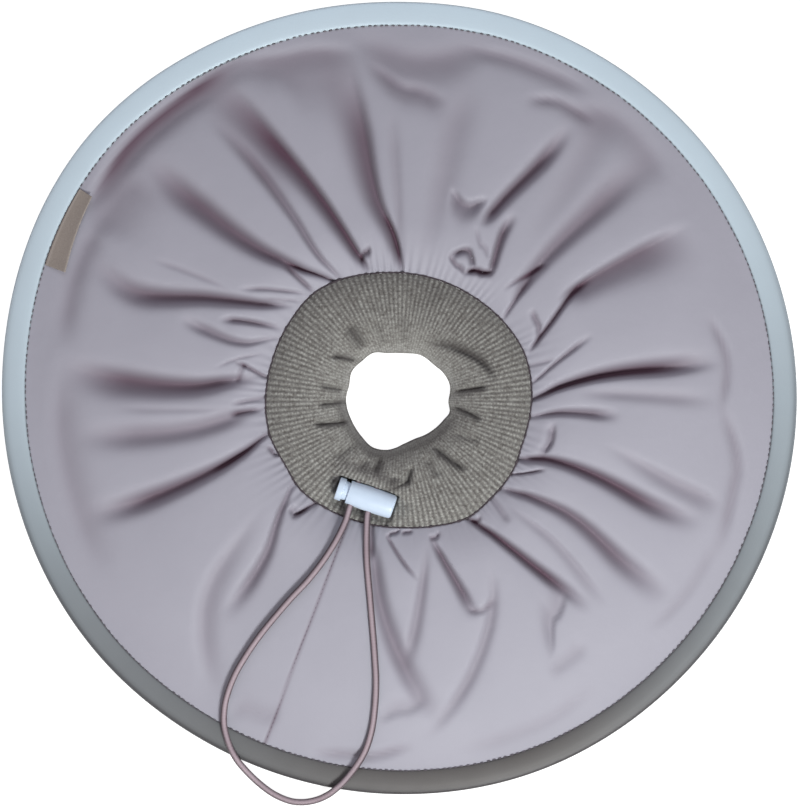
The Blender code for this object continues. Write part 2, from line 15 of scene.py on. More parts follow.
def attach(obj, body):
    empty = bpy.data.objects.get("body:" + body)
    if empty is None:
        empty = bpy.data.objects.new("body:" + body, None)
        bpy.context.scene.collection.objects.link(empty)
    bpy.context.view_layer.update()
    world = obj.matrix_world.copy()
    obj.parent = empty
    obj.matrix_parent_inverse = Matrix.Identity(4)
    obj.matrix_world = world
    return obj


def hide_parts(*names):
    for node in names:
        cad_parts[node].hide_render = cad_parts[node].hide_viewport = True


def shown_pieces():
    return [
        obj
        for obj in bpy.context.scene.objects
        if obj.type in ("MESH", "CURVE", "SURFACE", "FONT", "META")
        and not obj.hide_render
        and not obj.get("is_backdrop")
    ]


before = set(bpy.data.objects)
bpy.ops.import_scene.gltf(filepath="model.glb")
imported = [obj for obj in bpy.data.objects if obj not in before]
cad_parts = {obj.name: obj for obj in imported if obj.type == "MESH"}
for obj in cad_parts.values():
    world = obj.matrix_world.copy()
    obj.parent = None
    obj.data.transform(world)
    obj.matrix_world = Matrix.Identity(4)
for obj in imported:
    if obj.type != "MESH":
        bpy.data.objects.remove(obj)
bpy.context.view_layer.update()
print("solid parts:", ", ".join(sorted(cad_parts)))

# %% [markdown]
# ## The view
# The cone is seen from straight above, so a long lens far away keeps its rim round. The picture is
# 800 by 807 pixels and each pixel covers 0.454 mm at the rim. A short lens would also do, but then
# the raised middle would look too large.

# %% Camera
PICTURE_HEIGHT = 807
PIXEL = 0.000454
RIM_TOP = 0.004
CAMERA_HEIGHT = 2.4
PICTURE_MIDDLE = (0.0, -0.00204)


def add_object(name, data):
    """Puts new data into the scene as an object."""
    made = bpy.data.objects.new(name, data)
    bpy.context.scene.collection.objects.link(made)
    return made


camera = add_object("camera", bpy.data.cameras.new("camera"))
camera.location = (*PICTURE_MIDDLE, CAMERA_HEIGHT)
camera.data.lens = camera.data.sensor_width * (CAMERA_HEIGHT - RIM_TOP) / (PICTURE_HEIGHT * PIXEL)
camera.data.clip_end = 50.0
bpy.context.scene.camera = camera
print("lens:", round(camera.data.lens), "mm")

# %% [markdown]
# ## Smooth curves
# Outlines and folds of cloth are smooth, but a maker notes only a few marks on them. One function
# runs a smooth curve through such marks. It works on whole arrays, so that a mesh of many
# thousand points is worked out at once.

# %% Curves through a few marks
TURN = 360.0


def smooth_curve(xs, ys, x):
    """Smooth curve through the marks (xs, ys), read at every x and held beyond both ends."""
    xs = np.asarray(xs, float)
    ys = np.asarray(ys, float)
    held = np.clip(x, xs[0], xs[-1])
    left = np.clip(np.searchsorted(xs, held, side="right") - 1, 0, len(xs) - 2)
    index = np.arange(len(xs))
    before = np.maximum(index - 1, 0)
    after = np.minimum(index + 1, len(xs) - 1)
    slope = (ys[after] - ys[before]) / (xs[after] - xs[before])
    span = xs[left + 1] - xs[left]
    t = (held - xs[left]) / span
    ends = ys[left] * (1 - t) ** 2 * (1 + 2 * t) + ys[left + 1] * t ** 2 * (3 - 2 * t)
    bends = slope[left] * t * (1 - t) ** 2 - slope[left + 1] * t ** 2 * (1 - t)
    return ends + span * bends


def ring_share(rows, bearing):
    """A table of (bearing, share) rows, read smoothly all the way round."""
    xs = [row[0] + lap * TURN for lap in (-1, 0, 1) for row in rows]
    ys = [row[1] for row in rows] * 3
    return smooth_curve(xs, ys, np.mod(bearing, TURN))


def row_curve(rows, share):
    """A table of (share, value) rows, read smoothly."""
    xs, ys = zip(*rows)
    return smooth_curve(xs, ys, share)


def smooth_step(value):
    held = np.clip(value, 0.0, 1.0)
    return held * held * (3 - 2 * held)


def bearing_difference(first, second):
    return np.mod(first - second + TURN / 2, TURN) - TURN / 2


def polar(radius, bearing, height):
    """Points from radius, bearing in degrees and height, which may all be arrays."""
    angle = np.radians(bearing)
    parts = np.broadcast_arrays(radius * np.cos(angle), radius * np.sin(angle), height)
    return np.stack(parts, axis=-1)


def ring_bearings(columns):
    """One row of evenly spaced bearings, all the way round."""
    return np.arange(columns)[None, :] * TURN / columns


def full_turn(sides):
    """Evenly spaced angles all the way round, in radians."""
    return np.linspace(0.0, 2 * math.pi, sides, endpoint=False)


# %% [markdown]
# ## The drawcord
# The cord is one round elastic cord, 3 mm thick. Both strands come out of the cuff behind the
# lock, pass through it, run over the wall and the rim, and meet in a loose loop on the floor.
# A curve with a bevel would be enough for a smooth wire. This one is a mesh tube, because its
# braided cover needs a small relief all along it.

# %% Route of the cord, in metres
CORD_DIAMETER = 0.0030
CORD_STEP = 0.0004
CORD_ROUTE = (
    (-0.0186, -0.0370, 0.01855), (-0.0207, -0.0429, 0.01855), (-0.0220, -0.0467, 0.01855),
    (-0.0229, -0.0493, 0.01855), (-0.0246, -0.0550, 0.0188), (-0.0288, -0.0637, 0.0209),
    (-0.0345, -0.0727, 0.0218), (-0.0416, -0.0818, 0.0216), (-0.0491, -0.0898, 0.0208),
    (-0.0572, -0.0992, 0.0194), (-0.0633, -0.1068, 0.0179), (-0.0695, -0.1158, 0.0155),
    (-0.0747, -0.1248, 0.0128), (-0.0785, -0.1347, 0.0094), (-0.0799, -0.1428, 0.0069),
    (-0.0796, -0.1495, 0.0059), (-0.0774, -0.1572, 0.0059), (-0.0749, -0.1622, 0.0059),
    (-0.0719, -0.1665, 0.0046), (-0.0652, -0.1736, 0.0019), (-0.0577, -0.1793, 0.0018),
    (-0.0501, -0.1826, 0.0018), (-0.0439, -0.1832, 0.0018), (-0.0378, -0.1821, 0.0019),
    (-0.0326, -0.1796, 0.0040), (-0.0290, -0.1768, 0.0058), (-0.0255, -0.1736, 0.0059),
    (-0.0198, -0.1665, 0.0060), (-0.0155, -0.1589, 0.0081), (-0.0127, -0.1495, 0.0111),
    (-0.0113, -0.1390, 0.0141), (-0.0108, -0.1277, 0.0166), (-0.0114, -0.1154, 0.0181),
    (-0.0124, -0.1031, 0.0190), (-0.0136, -0.0888, 0.0203), (-0.0148, -0.0746, 0.0207),
    (-0.0151, -0.0633, 0.0192), (-0.0147, -0.0530, 0.0186), (-0.0140, -0.0498, 0.01855),
    (-0.0125, -0.0457, 0.01855), (-0.0105, -0.0398, 0.01855),
)


def line_through(points, step):
    """Evenly spaced points on the smooth curve through some points."""
    marks = np.asarray(points, float)
    runs = np.linalg.norm(np.diff(marks, axis=0), axis=1)
    along = np.concatenate([[0.0], np.cumsum(runs)])
    places = np.linspace(0.0, along[-1], max(2, round(along[-1] / step)) + 1)
    return np.stack([smooth_curve(along, marks[:, axis], places) for axis in range(3)], axis=-1)


def line_length(points):
    return float(np.linalg.norm(np.diff(points, axis=0), axis=1).sum())


cord_line = line_through(CORD_ROUTE, CORD_STEP)
print("cord:", len(cord_line), "points,", round(line_length(cord_line), 3), "m")

# %% Meshes from rows of points


def add_quads(name, points, closed_across=False, closed_along=True, flip=False):
    """A sheet of quads from an array of points (rows, columns, 3). A row may close on itself
    (closed_along), and the last row may join the first one (closed_across)."""
    rows, columns = points.shape[:2]
    corner = np.arange(rows * columns).reshape(rows, columns)
    last_row = rows if closed_across else rows - 1
    last_column = columns if closed_along else columns - 1
    here = corner[:last_row, :last_column]
    up = np.roll(corner, -1, axis=0)[:last_row, :last_column]
    beside = np.roll(corner, -1, axis=1)[:last_row, :last_column]
    across = np.roll(np.roll(corner, -1, axis=0), -1, axis=1)[:last_row, :last_column]
    order = (here, beside, across, up) if flip else (here, up, across, beside)
    quads = np.stack(order, axis=-1).reshape(-1, 4)
    mesh = bpy.data.meshes.new(name)
    mesh.from_pydata(points.reshape(-1, 3).tolist(), [], quads.tolist())
    mesh.shade_smooth()
    return add_object(name, mesh)


def merged(piece):
    """Bakes the modifiers of a piece into its mesh."""
    evaluated = piece.evaluated_get(bpy.context.evaluated_depsgraph_get())
    mesh = bpy.data.meshes.new_from_object(evaluated)
    piece.modifiers.clear()
    piece.data = mesh
    return piece


def weld(piece):
    """Joins points that lie on one spot, such as those at a closed end."""
    weld_points = piece.modifiers.new("weld", "WELD")
    weld_points.merge_threshold = 0.00002
    return merged(piece)


def store(piece, name, values):
    """Keeps one number for each point of a mesh, for its finish to read."""
    mesh = piece.data
    layer = mesh.attributes.new(name, "FLOAT", "POINT")
    layer.data.foreach_set("value", np.ravel(values).astype(np.float32))


def dress(piece, finish, body):
    """Gives a piece its finish and its body."""
    piece.data.materials.append(finish)
    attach(piece, body)


# %% Tube of cord with its braided cover
CORD_SIDES = 20
BRAID_PITCH = 0.0030
BRAID_RELIEF = 0.000015

# Painted light and shade: a pale crown lies on top, a little to the left of the cord's run, and
# fades out into painted shade at its dark edges.
PAINTED_LIGHT_SIDE = 98
PAINTED_LIGHT_EDGE = 0.58
PAINTED_LIGHT_FADE = 0.38


def side_ways(line):
    """Two unit vectors across a line at each of its points."""
    ahead = np.gradient(line, axis=0)
    ahead /= np.linalg.norm(ahead, axis=1, keepdims=True)
    flat = np.cross(ahead, (0.0, 0.0, 1.0))
    flat /= np.linalg.norm(flat, axis=1, keepdims=True)
    return flat, np.cross(flat, ahead)


def tube_points(line, radius, sides):
    """Points of a tube round a line. radius may be an array of shape (points, sides)."""
    flat, up = side_ways(line)
    angle = full_turn(sides)
    out = flat[:, None, :] * np.cos(angle)[None, :, None]
    out = out + up[:, None, :] * np.sin(angle)[None, :, None]
    return line[:, None, :] + out * np.broadcast_to(radius, (len(line), sides))[..., None]


def close_ends(points):
    """Adds a point of no width at both ends of a tube, so that it is closed."""
    first = np.broadcast_to(points[0].mean(axis=0), points[0].shape)
    last = np.broadcast_to(points[-1].mean(axis=0), points[-1].shape)
    return np.concatenate([first[None], points, last[None]])


distance = np.linspace(0.0, line_length(cord_line), len(cord_line))[:, None]
angle = full_turn(CORD_SIDES)[None, :]
turns = 2 * math.pi * distance / BRAID_PITCH
braid = np.cos(2 * angle + turns) * np.cos(2 * angle - turns)
crown = np.clip((np.cos(angle - math.radians(PAINTED_LIGHT_SIDE)) - PAINTED_LIGHT_EDGE) / PAINTED_LIGHT_FADE, 0.0, 1.0)
cord_points = tube_points(cord_line, CORD_DIAMETER / 2 - BRAID_RELIEF * (1 - braid), CORD_SIDES)
drawcord = add_quads("drawcord_braid", close_ends(cord_points))
print("cord tube:", len(drawcord.data.polygons), "faces")

# %% [markdown]
# ## Floor and light
# The photograph has a pure white ground, soft light from all round, a stronger light from the
# lower right that makes each fold's lip throw a soft shadow, and a wide bluish window beyond the
# top that the tape reflects. Two lamps and a pale surrounding do the same here.

# %% Floor, surroundings and lamps


def screen_colour(red, green, blue):
    """A colour as a screen shows it, 0 to 255, turned into light values."""
    shares = [value / 255 for value in (red, green, blue)]
    return tuple(s / 12.92 if s <= 0.04045 else ((s + 0.055) / 1.055) ** 2.4 for s in shares)


scene = bpy.context.scene
scene.view_settings.view_transform = "Standard"
scene.view_settings.look = "None"
scene.world = bpy.data.worlds.new("room")
scene.world.use_nodes = True
surroundings = scene.world.node_tree.nodes["Background"]
surroundings.inputs["Color"].default_value = (1.0, 0.90, 0.94, 1.0)
surroundings.inputs["Strength"].default_value = 0.40


def add_lamp(name, bearing, elevation, distance, size, power, colour):
    """A square lamp that looks at the middle of the cone."""
    lamp = bpy.data.lights.new(name, "AREA")
    lamp.size = size
    lamp.energy = power
    lamp.color = colour
    placed = add_object(name, lamp)
    rise = math.radians(elevation)
    turned = math.radians(bearing)
    towards = Vector((
        math.cos(turned) * math.cos(rise), math.sin(turned) * math.cos(rise), math.sin(rise),
    ))
    placed.location = towards * distance
    placed.rotation_mode = "QUATERNION"
    placed.rotation_quaternion = towards.to_track_quat("Z", "Y")
    placed.visible_camera = False


Lamp = namedtuple("Lamp", "name bearing elevation distance size power colour")
for lamp in (
    Lamp("key_lamp", 291, 48, 1.6, 0.40, 22.0, (0.97, 1.0, 0.99)),
    Lamp("window_lamp", 95, 48, 1.8, 1.2, 6.0, (0.78, 0.90, 1.0)),
):
    add_lamp(*lamp)

FLOOR_HALF = 30
FLOOR_HEIGHT = -0.0002
floor_corners = [
    (FLOOR_HALF * right, FLOOR_HALF * back, FLOOR_HEIGHT)
    for right, back in ((-1, -1), (1, -1), (1, 1), (-1, 1))
]
floor_mesh = bpy.data.meshes.new("floor")
floor_mesh.from_pydata(floor_corners, [], [(0, 1, 2, 3)])
floor = add_object("floor", floor_mesh)
floor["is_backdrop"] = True

# %% [markdown]
# ## Finishes as sums
# A finish is a small network of nodes. Wiring it by hand hides the idea, so a socket is wrapped
# in a class with Python's own arithmetic. Then `1 - mask * 0.5` makes the Math nodes by itself.
# Colours go through Mix nodes, because a Math node would turn them grey.

# %% A socket with arithmetic, and a finish to hold it


class Field:
    """A value that varies over a surface."""

    def __init__(self, finish, socket):
        self.finish = finish
        self.socket = socket

    def math(self, operation, first, second=0.0):
        return self.finish.add("ShaderNodeMath", {"operation": operation}, {0: first, 1: second})

    def __add__(self, other):
        return self.math("ADD", self, other)

    def __radd__(self, other):
        return self.math("ADD", other, self)

    def __sub__(self, other):
        return self.math("SUBTRACT", self, other)

    def __rsub__(self, other):
        return self.math("SUBTRACT", other, self)

    def __mul__(self, other):
        return self.math("MULTIPLY", self, other)

    def __rmul__(self, other):
        return self.math("MULTIPLY", other, self)

    def held(self, low=0.0, high=1.0):
        return self.math("MINIMUM", self.math("MAXIMUM", self, low), high)


class Finish:
    """A material whose varying values are written as sums."""

    def __init__(self, name, colour, roughness, **settings):
        self.material = bpy.data.materials.new(name)
        self.material.use_nodes = True
        self.tree = self.material.node_tree
        self.shader = self.tree.nodes["Principled BSDF"]
        self.set(**{"Base Color": (*colour, 1.0), "Roughness": roughness})
        self.set(**{key.replace("_", " "): value for key, value in settings.items()})

    def set(self, **sockets):
        for name, value in sockets.items():
            self.feed(self.shader.inputs[name], value)

    def feed(self, socket, value):
        if isinstance(value, Field):
            self.tree.links.new(value.socket, socket)
        else:
            socket.default_value = value

    def add(self, kind, settings=None, sockets=None, output=0):
        """Any node, from its type, its settings, the values of its sockets and its output."""
        node = self.tree.nodes.new(kind)
        for name, value in (settings or {}).items():
            if name == "stops":
                self.lay_stops(node.color_ramp, value)
            else:
                setattr(node, name, value)
        for name, value in (sockets or {}).items():
            self.feed(node.inputs[name], value)
        return Field(self, node.outputs[output])

    def lay_stops(self, ramp, stops):
        while len(ramp.elements) < len(stops):
            ramp.elements.new(1.0)
        for element, (place, level) in zip(ramp.elements, stops):
            element.position = place
            element.color = (level, level, level, 1.0)

    def stored(self, name):
        return self.add("ShaderNodeAttribute", {"attribute_name": name}, output="Fac")

    def noise(self, scale, detail=2.0, rough=0.5):
        spot = self.add("ShaderNodeTexCoord", output="Object")
        sockets = {"Vector": spot, "Scale": scale, "Detail": detail, "Roughness": rough}
        return self.add("ShaderNodeTexNoise", {}, sockets)

    def blend(self, mask, first, second):
        """A colour between two colours, by a mask from 0 to 1."""
        first = first if isinstance(first, Field) else (*first, 1.0)
        second = second if isinstance(second, Field) else (*second, 1.0)
        sockets = {0: mask, 6: first, 7: second}
        return self.add("ShaderNodeMix", {"data_type": "RGBA"}, sockets, output=2)

    def relief(self, height, depth, strength=1.0):
        """Small relief, depth in metres."""
        sockets = {"Height": height, "Distance": depth, "Strength": strength}
        self.set(Normal=self.add("ShaderNodeBump", {}, sockets))


def thread_material(name, colour, roughness, scale, detail, dark, light):
    """Sewing thread, uneven between a dark and a light colour."""
    finish = Finish(name, screen_colour(*colour), roughness)
    tint = finish.blend(finish.noise(scale, detail), screen_colour(*dark), screen_colour(*light))
    finish.set(**{"Base Color": tint})
    return finish.material


floor_finish = Finish("floor_paint", (0.45, 0.45, 0.45), 0.9, Emission_Strength=0.86)
floor_finish.set(**{"Emission Color": (1.0, 1.0, 1.0, 1.0)})
floor.data.materials.append(floor_finish.material)
print("finishes can now be written as sums")

# %% [markdown]
# ## Mauve cord
# The cover is braided from mauve and darker threads. From a hand's distance it reads as a smooth
# mauve cord, so the braid only tints it a little. Its pale top is painted light and its dark edges
# are painted shade.

# %% Finish of the cord
mauve_cord = Finish("mauve_cord", screen_colour(150, 136, 142), 0.62, Sheen_Weight=0.1)
# The braid tints the cord a little; painted light makes its top pale and painted shade its edges
# dark.
braid_and_painted_light = (mauve_cord.stored("braid") * 0.12 + mauve_cord.stored("crown") * 0.88).held()
mauve_cord.set(**{"Base Color": mauve_cord.blend(
    braid_and_painted_light, screen_colour(58, 44, 50), screen_colour(160, 144, 151),
)})
mauve_cord.relief(mauve_cord.noise(5200, 2.0), 0.00006, 0.5)
capped = np.concatenate([braid[:1], braid, braid[-1:]])
store(drawcord, "braid", 0.5 + 0.5 * capped)
store(drawcord, "crown", np.broadcast_to(crown, capped.shape))
weld(drawcord)
dress(drawcord, mauve_cord.material, "cone")
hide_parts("drawcord")
print("cord finished")

# %% [markdown]
# ## The cloth wall's outline
# The wall is an annulus of smooth polyester, gathered into the knit cuff and held flat in the
# tape. Its outline isn't quite round, so the rim and the seam each have a short table of shares
# of their radius. These are the same as in the solid model.

# %% Outlines
RIM_RADIUS = 0.1800
BINDING_WIDTH = 0.0113
EDGE_TOP = 0.0034
DOME_HEIGHT = 0.0200
SEAM_RADIUS = 0.0590
SEAM_HEIGHT = 0.0148
SEAM_GAP = 0.0008
RIM_ROWS = (
    (0, 1.002), (30, 1.001), (60, 1.003), (75, 1.005), (90, 1.003), (105, 1.009), (120, 1.018),
    (130, 1.026), (140, 1.030), (150, 1.026), (160, 1.018), (170, 1.010), (180, 1.005),
    (195, 1.001), (220, 0.999), (240, 0.995), (270, 0.998), (290, 1.002), (315, 0.999),
    (340, 1.000),
)
SEAM_ROWS = (
    (0, 1.008), (20, 1.015), (35, 0.992), (55, 0.965), (80, 0.962), (100, 0.981), (120, 1.031),
    (130, 1.046), (145, 1.031), (165, 1.023), (195, 1.035), (210, 1.015), (222, 1.031),
    (235, 1.012), (250, 0.992), (270, 0.985), (285, 1.008), (300, 1.046), (312, 1.031),
    (328, 1.023), (338, 1.000), (350, 1.000),
)


def rim_edge(bearing):
    return RIM_RADIUS * ring_share(RIM_ROWS, bearing)


def tape_inner_edge(bearing):
    return rim_edge(bearing) - BINDING_WIDTH


def seam_edge(bearing):
    return SEAM_RADIUS * ring_share(SEAM_ROWS, bearing)


def wall_radius(bearing, share):
    """Radius at a share of the wall's width, 0 at the seam and 1 at the tape."""
    inner = seam_edge(bearing) + SEAM_GAP / 2
    return inner + (tape_inner_edge(bearing) - inner) * share


print("wall width:", round(float(tape_inner_edge(0) - seam_edge(0)), 4), "m")

# %% [markdown]
# ## Its folds
# Gathering makes deep valleys that start at the seam, sweep a little anticlockwise, and fade out
# towards the rim, with soft pillows between them. Simulated cloth would make folds too, but not
# these ones. So each fold is one row of bearings, lengths, depth and widths, read from the
# photograph, and the wall dips by the sum of them. Shallow hollows run round the cone past the
# pillows' ends.

# %% Table of the folds
# root, heel, knee, waist and toe are the bearings of a valley at the shares 0, 0.12, 0.3, 0.6 and
# 0.9 of the wall's width. start, peak and end are such shares. depth is 0 to 1. narrow and wide are
# half widths in millimetres at the seam and at the tape. lean makes one side of the valley
# gentler: positive is the anticlockwise side.
Fold = namedtuple("Fold", "root heel knee waist toe start peak end depth narrow wide lean")
FOLD_ROWS = (
    (-0.3, 4.1, 6.4, 6.4, 6.8, -0.12, 0.12, 0.82, 0.62, 1.3, 5, 0.3),
    (7, 13.5, 18.5, 20, 20, -0.10, 0.07, 0.30, 0.30, 0.8, 3, 0),
    (14.3, 14.3, 14.3, 14, 14, -0.10, 0.02, 0.12, 0.15, 1, 2, 0),
    (19.5, 25.5, 31.5, 33, 33, 0.00, 0.08, 0.42, 0.50, 1.0, 2, 0),
    (30.6, 31.6, 32.4, 31.7, 30.2, 0.22, 0.34, 0.88, 0.40, 1, 9, -0.6),
    (38, 41.2, 43, 43, 43, -0.02, 0.05, 0.22, 0.30, 0.9, 2, 0),
    (38.2, 42, 44, 44, 43.6, 0.05, 0.20, 0.98, 0.34, 1.3, 8, 0.1),
    (49, 46, 42.5, 42, 42, 0.08, 0.18, 0.30, 0.35, 0.9, 1.5, 0),
    (51, 51, 51, 52, 54, 0.20, 0.70, 1.00, 0.10, 3, 9, 0),
    (50, 54.5, 58.3, 56, 55, 0.08, 0.16, 0.38, 0.45, 1.2, 4, 0),
    (66, 65.7, 64, 59.2, 57.6, 0.25, 0.34, 0.82, 0.50, 1.5, 4.2, 0),
    (80, 80, 79, 78.5, 77, 0.00, 0.40, 0.85, 0.12, 4, 9, 0),
    (90, 90.3, 90.8, 91.5, 91, 0.05, 0.25, 0.70, 0.10, 1.5, 4, 0),
    (89.3, 91.2, 96, 97, 97, 0.00, 0.10, 0.25, 0.35, 0.8, 2, 0),
    (89, 91.6, 96.5, 98, 99.4, -0.04, 0.12, 0.94, 0.48, 1.5, 8.5, 0.45),
    (103.5, 107, 110.7, 115.6, 119, -0.02, 0.10, 1.00, 0.58, 1.6, 6.5, 0.4),
    (116.5, 119.6, 120.3, 122, 124.5, -0.10, 0.15, 0.88, 0.32, 1.0, 4, 0),
    (119, 119, 119, 119, 121, 0.30, 0.60, 1.00, 0.14, 3, 9, 0),
    (119.5, 128, 133, 135, 136, -0.10, 0.04, 0.18, 0.35, 0.7, 2, 0),
    (119.5, 127.8, 133.6, 136.2, 137, -0.08, 0.22, 0.92, 0.48, 1.8, 7.5, 0.1),
    (129, 130.3, 132, 133, 134, -0.02, 0.05, 0.18, 0.35, 1.0, 2, 0),
    (131, 139, 148, 152, 155, 0.00, 0.08, 0.25, 0.25, 0.8, 2.5, 0),
    (135, 143, 150, 155, 158, -0.02, 0.05, 0.15, 0.14, 0.8, 2, 0),
    (138, 145, 151.3, 157.9, 155, 0.00, 0.14, 0.88, 0.48, 1.4, 6.5, 0.1),
    (147, 147, 147.7, 150.5, 152, 0.25, 0.40, 0.62, 0.12, 0.8, 1.6, 0),
    (149, 152.4, 157, 160, 160, -0.02, 0.12, 0.26, 0.38, 1.2, 2.5, 0),
    (153, 160, 160.4, 158.6, 158, -0.05, 0.15, 0.42, 0.30, 1.2, 5, 0),
    (160, 165.5, 174, 180, 180, 0.03, 0.10, 0.22, 0.15, 0.7, 1.5, 0),
    (170.8, 167.5, 166, 165, 165, -0.10, 0.05, 0.15, 0.38, 0.8, 1.5, 0),
    (170.8, 173.3, 176.2, 176.0, 174.6, 0.00, 0.22, 0.90, 0.50, 1.9, 8, 0.2),
    (179.5, 181.5, 183, 183, 183, -0.10, 0.03, 0.15, 0.20, 1.0, 2, 0),
    (184, 183.6, 183, 182, 181, 0.10, 0.35, 0.65, 0.08, 1.0, 2.5, 0),
    (184.3, 185, 187, 188, 188, -0.02, 0.06, 0.16, 0.35, 1.1, 2, 0),
    (183.4, 186.2, 188.3, 187.7, 186, 0.02, 0.18, 0.86, 0.28, 3, 6.5, 0),
    (194.8, 199, 201.5, 202, 202, -0.12, 0.12, 0.30, 0.20, 0.8, 2, 0),
    (194.6, 198.8, 201.1, 201.6, 200.4, -0.10, 0.18, 0.88, 0.50, 1.3, 6, 0),
    (216, 218, 221, 226, 237, 0.12, 0.50, 0.95, 0.13, 2, 7, 0.2),
    (218.3, 223.3, 229.3, 231, 230.4, -0.08, 0.12, 0.64, 0.32, 1.2, 5, 0.1),
    (230.8, 227.5, 224, 222, 222, -0.10, 0.03, 0.12, 0.38, 0.9, 2, 0),
    (257.5, 259.5, 261, 262, 262, -0.10, 0.03, 0.15, 0.30, 1.2, 2, 0),
    (256, 260.5, 264.2, 271.5, 279, 0.00, 0.20, 0.84, 0.30, 2, 6, 0.1),
    (262.5, 270, 280, 285, 285, 0.02, 0.06, 0.22, 0.38, 0.7, 2.5, 0),
    (282, 279.2, 275.7, 271, 268, 0.03, 0.25, 0.60, 0.20, 1.5, 4, 0),
    (281.5, 284.7, 288, 290, 291, 0.02, 0.12, 0.42, 0.44, 1.1, 5, -0.1),
    (300, 299, 296.6, 285.8, 273, 0.20, 0.42, 0.90, 0.18, 1.5, 4, 0),
    (300, 304.6, 308.2, 311.8, 312, -0.12, 0.10, 0.64, 0.58, 1.3, 4, 0),
    (312.5, 311.5, 311, 311, 311, -0.10, 0.04, 0.13, 0.16, 1.5, 2, 0),
    (314, 316, 317.3, 315.5, 315, 0.02, 0.25, 0.68, 0.13, 1.3, 3.5, -0.3),
    (318.8, 323.4, 325.8, 323.9, 323.7, -0.08, 0.10, 0.88, 0.44, 1.4, 5.5, -0.15),
    (326, 334, 342, 345, 345, -0.06, 0.03, 0.13, 0.42, 0.6, 2, 0),
    (333.3, 337.9, 338.8, 337.2, 338, -0.08, 0.10, 0.84, 0.56, 1.5, 5, -0.1),
    (349, 349, 347.5, 343.3, 341.3, 0.28, 0.60, 0.88, 0.17, 1, 5, -0.2),
    (352.3, 355.2, 355.6, 355, 355, -0.08, 0.10, 0.38, 0.38, 1.1, 5, 0),
    (362, 362, 361.5, 360.3, 359.5, 0.15, 0.35, 0.80, 0.13, 2, 4, 0),
)
# A hollow runs round the cone between two bearings, at three shares of the wall's width. inward
# and outward are half widths in millimetres.
Hollow = namedtuple("Hollow", "first last start middle finish depth inward outward")
HOLLOW_ROWS = (
    (-3, 16.5, 0.79, 0.82, 0.78, 0.17, 2.5, 1.5),
    (23, 35, 0.08, 0.105, 0.115, 0.30, 1.5, 1.0),
    (38, 62, 0.88, 0.92, 0.87, 0.12, 8, 4),
    (53, 63.5, 0.115, 0.095, 0.07, 0.65, 1.6, 1.2),
    (54, 68, 0.86, 0.855, 0.81, 0.22, 3, 2),
    (57, 67, 0.16, 0.19, 0.24, 0.15, 1.0, 1.5),
    (57, 82, 0.95, 0.94, 0.93, 0.20, 4, 2),
    (59.5, 71.5, 0.10, 0.15, 0.11, 0.38, 2.5, 1.0),
    (61.5, 72, 0.06, 0.075, 0.10, 0.32, 1.0, 1.2),
    (65.5, 77, 0.36, 0.315, 0.35, 0.28, 6, 1.5),
    (75, 99, 0.92, 0.86, 0.93, 0.20, 11, 6),
    (80, 96.5, 0.70, 0.74, 0.84, 0.20, 6, 2.5),
    (96, 118, 0.90, 0.93, 0.97, 0.24, 9, 3),
    (99, 112, 0.78, 0.80, 0.85, 0.10, 12, 8),
    (100.5, 106.5, 0.10, 0.085, 0.06, 0.38, 2.0, 1.0),
    (112, 151, 0.985, 0.955, 0.93, 0.55, 6, 2.0),
    (138, 152, 0.82, 0.84, 0.86, 0.15, 12, 6),
    (147, 172, 0.86, 0.87, 0.86, 0.15, 5, 5),
    (166, 175, 0.10, 0.11, 0.12, 0.20, 1.0, 1.0),
    (172, 212, 0.85, 0.865, 0.87, 0.12, 8, 5),
    (199, 206, 0.02, 0.015, 0.00, 0.35, 1.0, 0.8),
    (224, 231, 0.085, 0.09, 0.04, 0.20, 2.5, 1.0),
    (240, 250, 0.93, 0.90, 0.88, 0.08, 5, 4),
    (255, 273, 0.97, 0.95, 0.90, 0.18, 2, 2),
    (264, 271, 0.035, 0.02, 0.005, 0.35, 0.8, 0.8),
    (265, 276, 0.79, 0.75, 0.71, 0.10, 5, 2),
    (270, 276, 0.02, 0.015, 0.01, 0.35, 0.8, 0.8),
    (278, 306, 0.93, 0.92, 0.89, 0.07, 3, 3),
    (281.5, 287, 0.045, 0.045, 0.025, 0.30, 1.2, 1.0),
    (287, 295.5, 0.37, 0.385, 0.36, 0.22, 1.5, 1.0),
    (298, 308, 0.74, 0.73, 0.72, 0.08, 4, 3),
    (299.5, 305, 0.02, 0.03, 0.02, 0.30, 1.0, 1.0),
    (299.5, 311.5, 0.68, 0.55, 0.50, 0.14, 8, 1.5),
    (316, 338, 0.87, 0.895, 0.90, 0.08, 3, 2),
    (333, 361, 0.92, 0.89, 0.79, 0.17, 3, 2),
    (337, 352, 0.09, 0.108, 0.10, 0.27, 2.5, 0.8),
)
FOLDS = [Fold(*row) for row in FOLD_ROWS]
HOLLOWS = [Hollow(*row) for row in HOLLOW_ROWS]
print("folds:", len(FOLDS), " hollows:", len(HOLLOWS))

# %% The wall's shape from the table
FOLD_SHARES = (0.0, 0.12, 0.3, 0.6, 0.9)
FOLD_DEPTH = 0.0300
DEEP_HALF_WIDTH = 0.0040
FOLD_EDGE = 2.0
SKIRT_SHARE = 0.16
SKIRT_SPREAD = 3.2
HOLLOW_EDGE = 1.8
HOLLOW_END_SHARE = 0.3
LOWEST_WALL = 0.0022
MILLIMETRE = 0.001


def fold_strength(fold, share):
    """How far a fold has opened at a share of the wall's width, 0 to 1."""
    opened = smooth_step((share - fold.start) / (fold.peak - fold.start))
    middle = (fold.peak + fold.end) / 2
    faded = 1 - smooth_step((share - middle) / (fold.end - middle))
    return np.where(share < fold.peak, opened, faded)


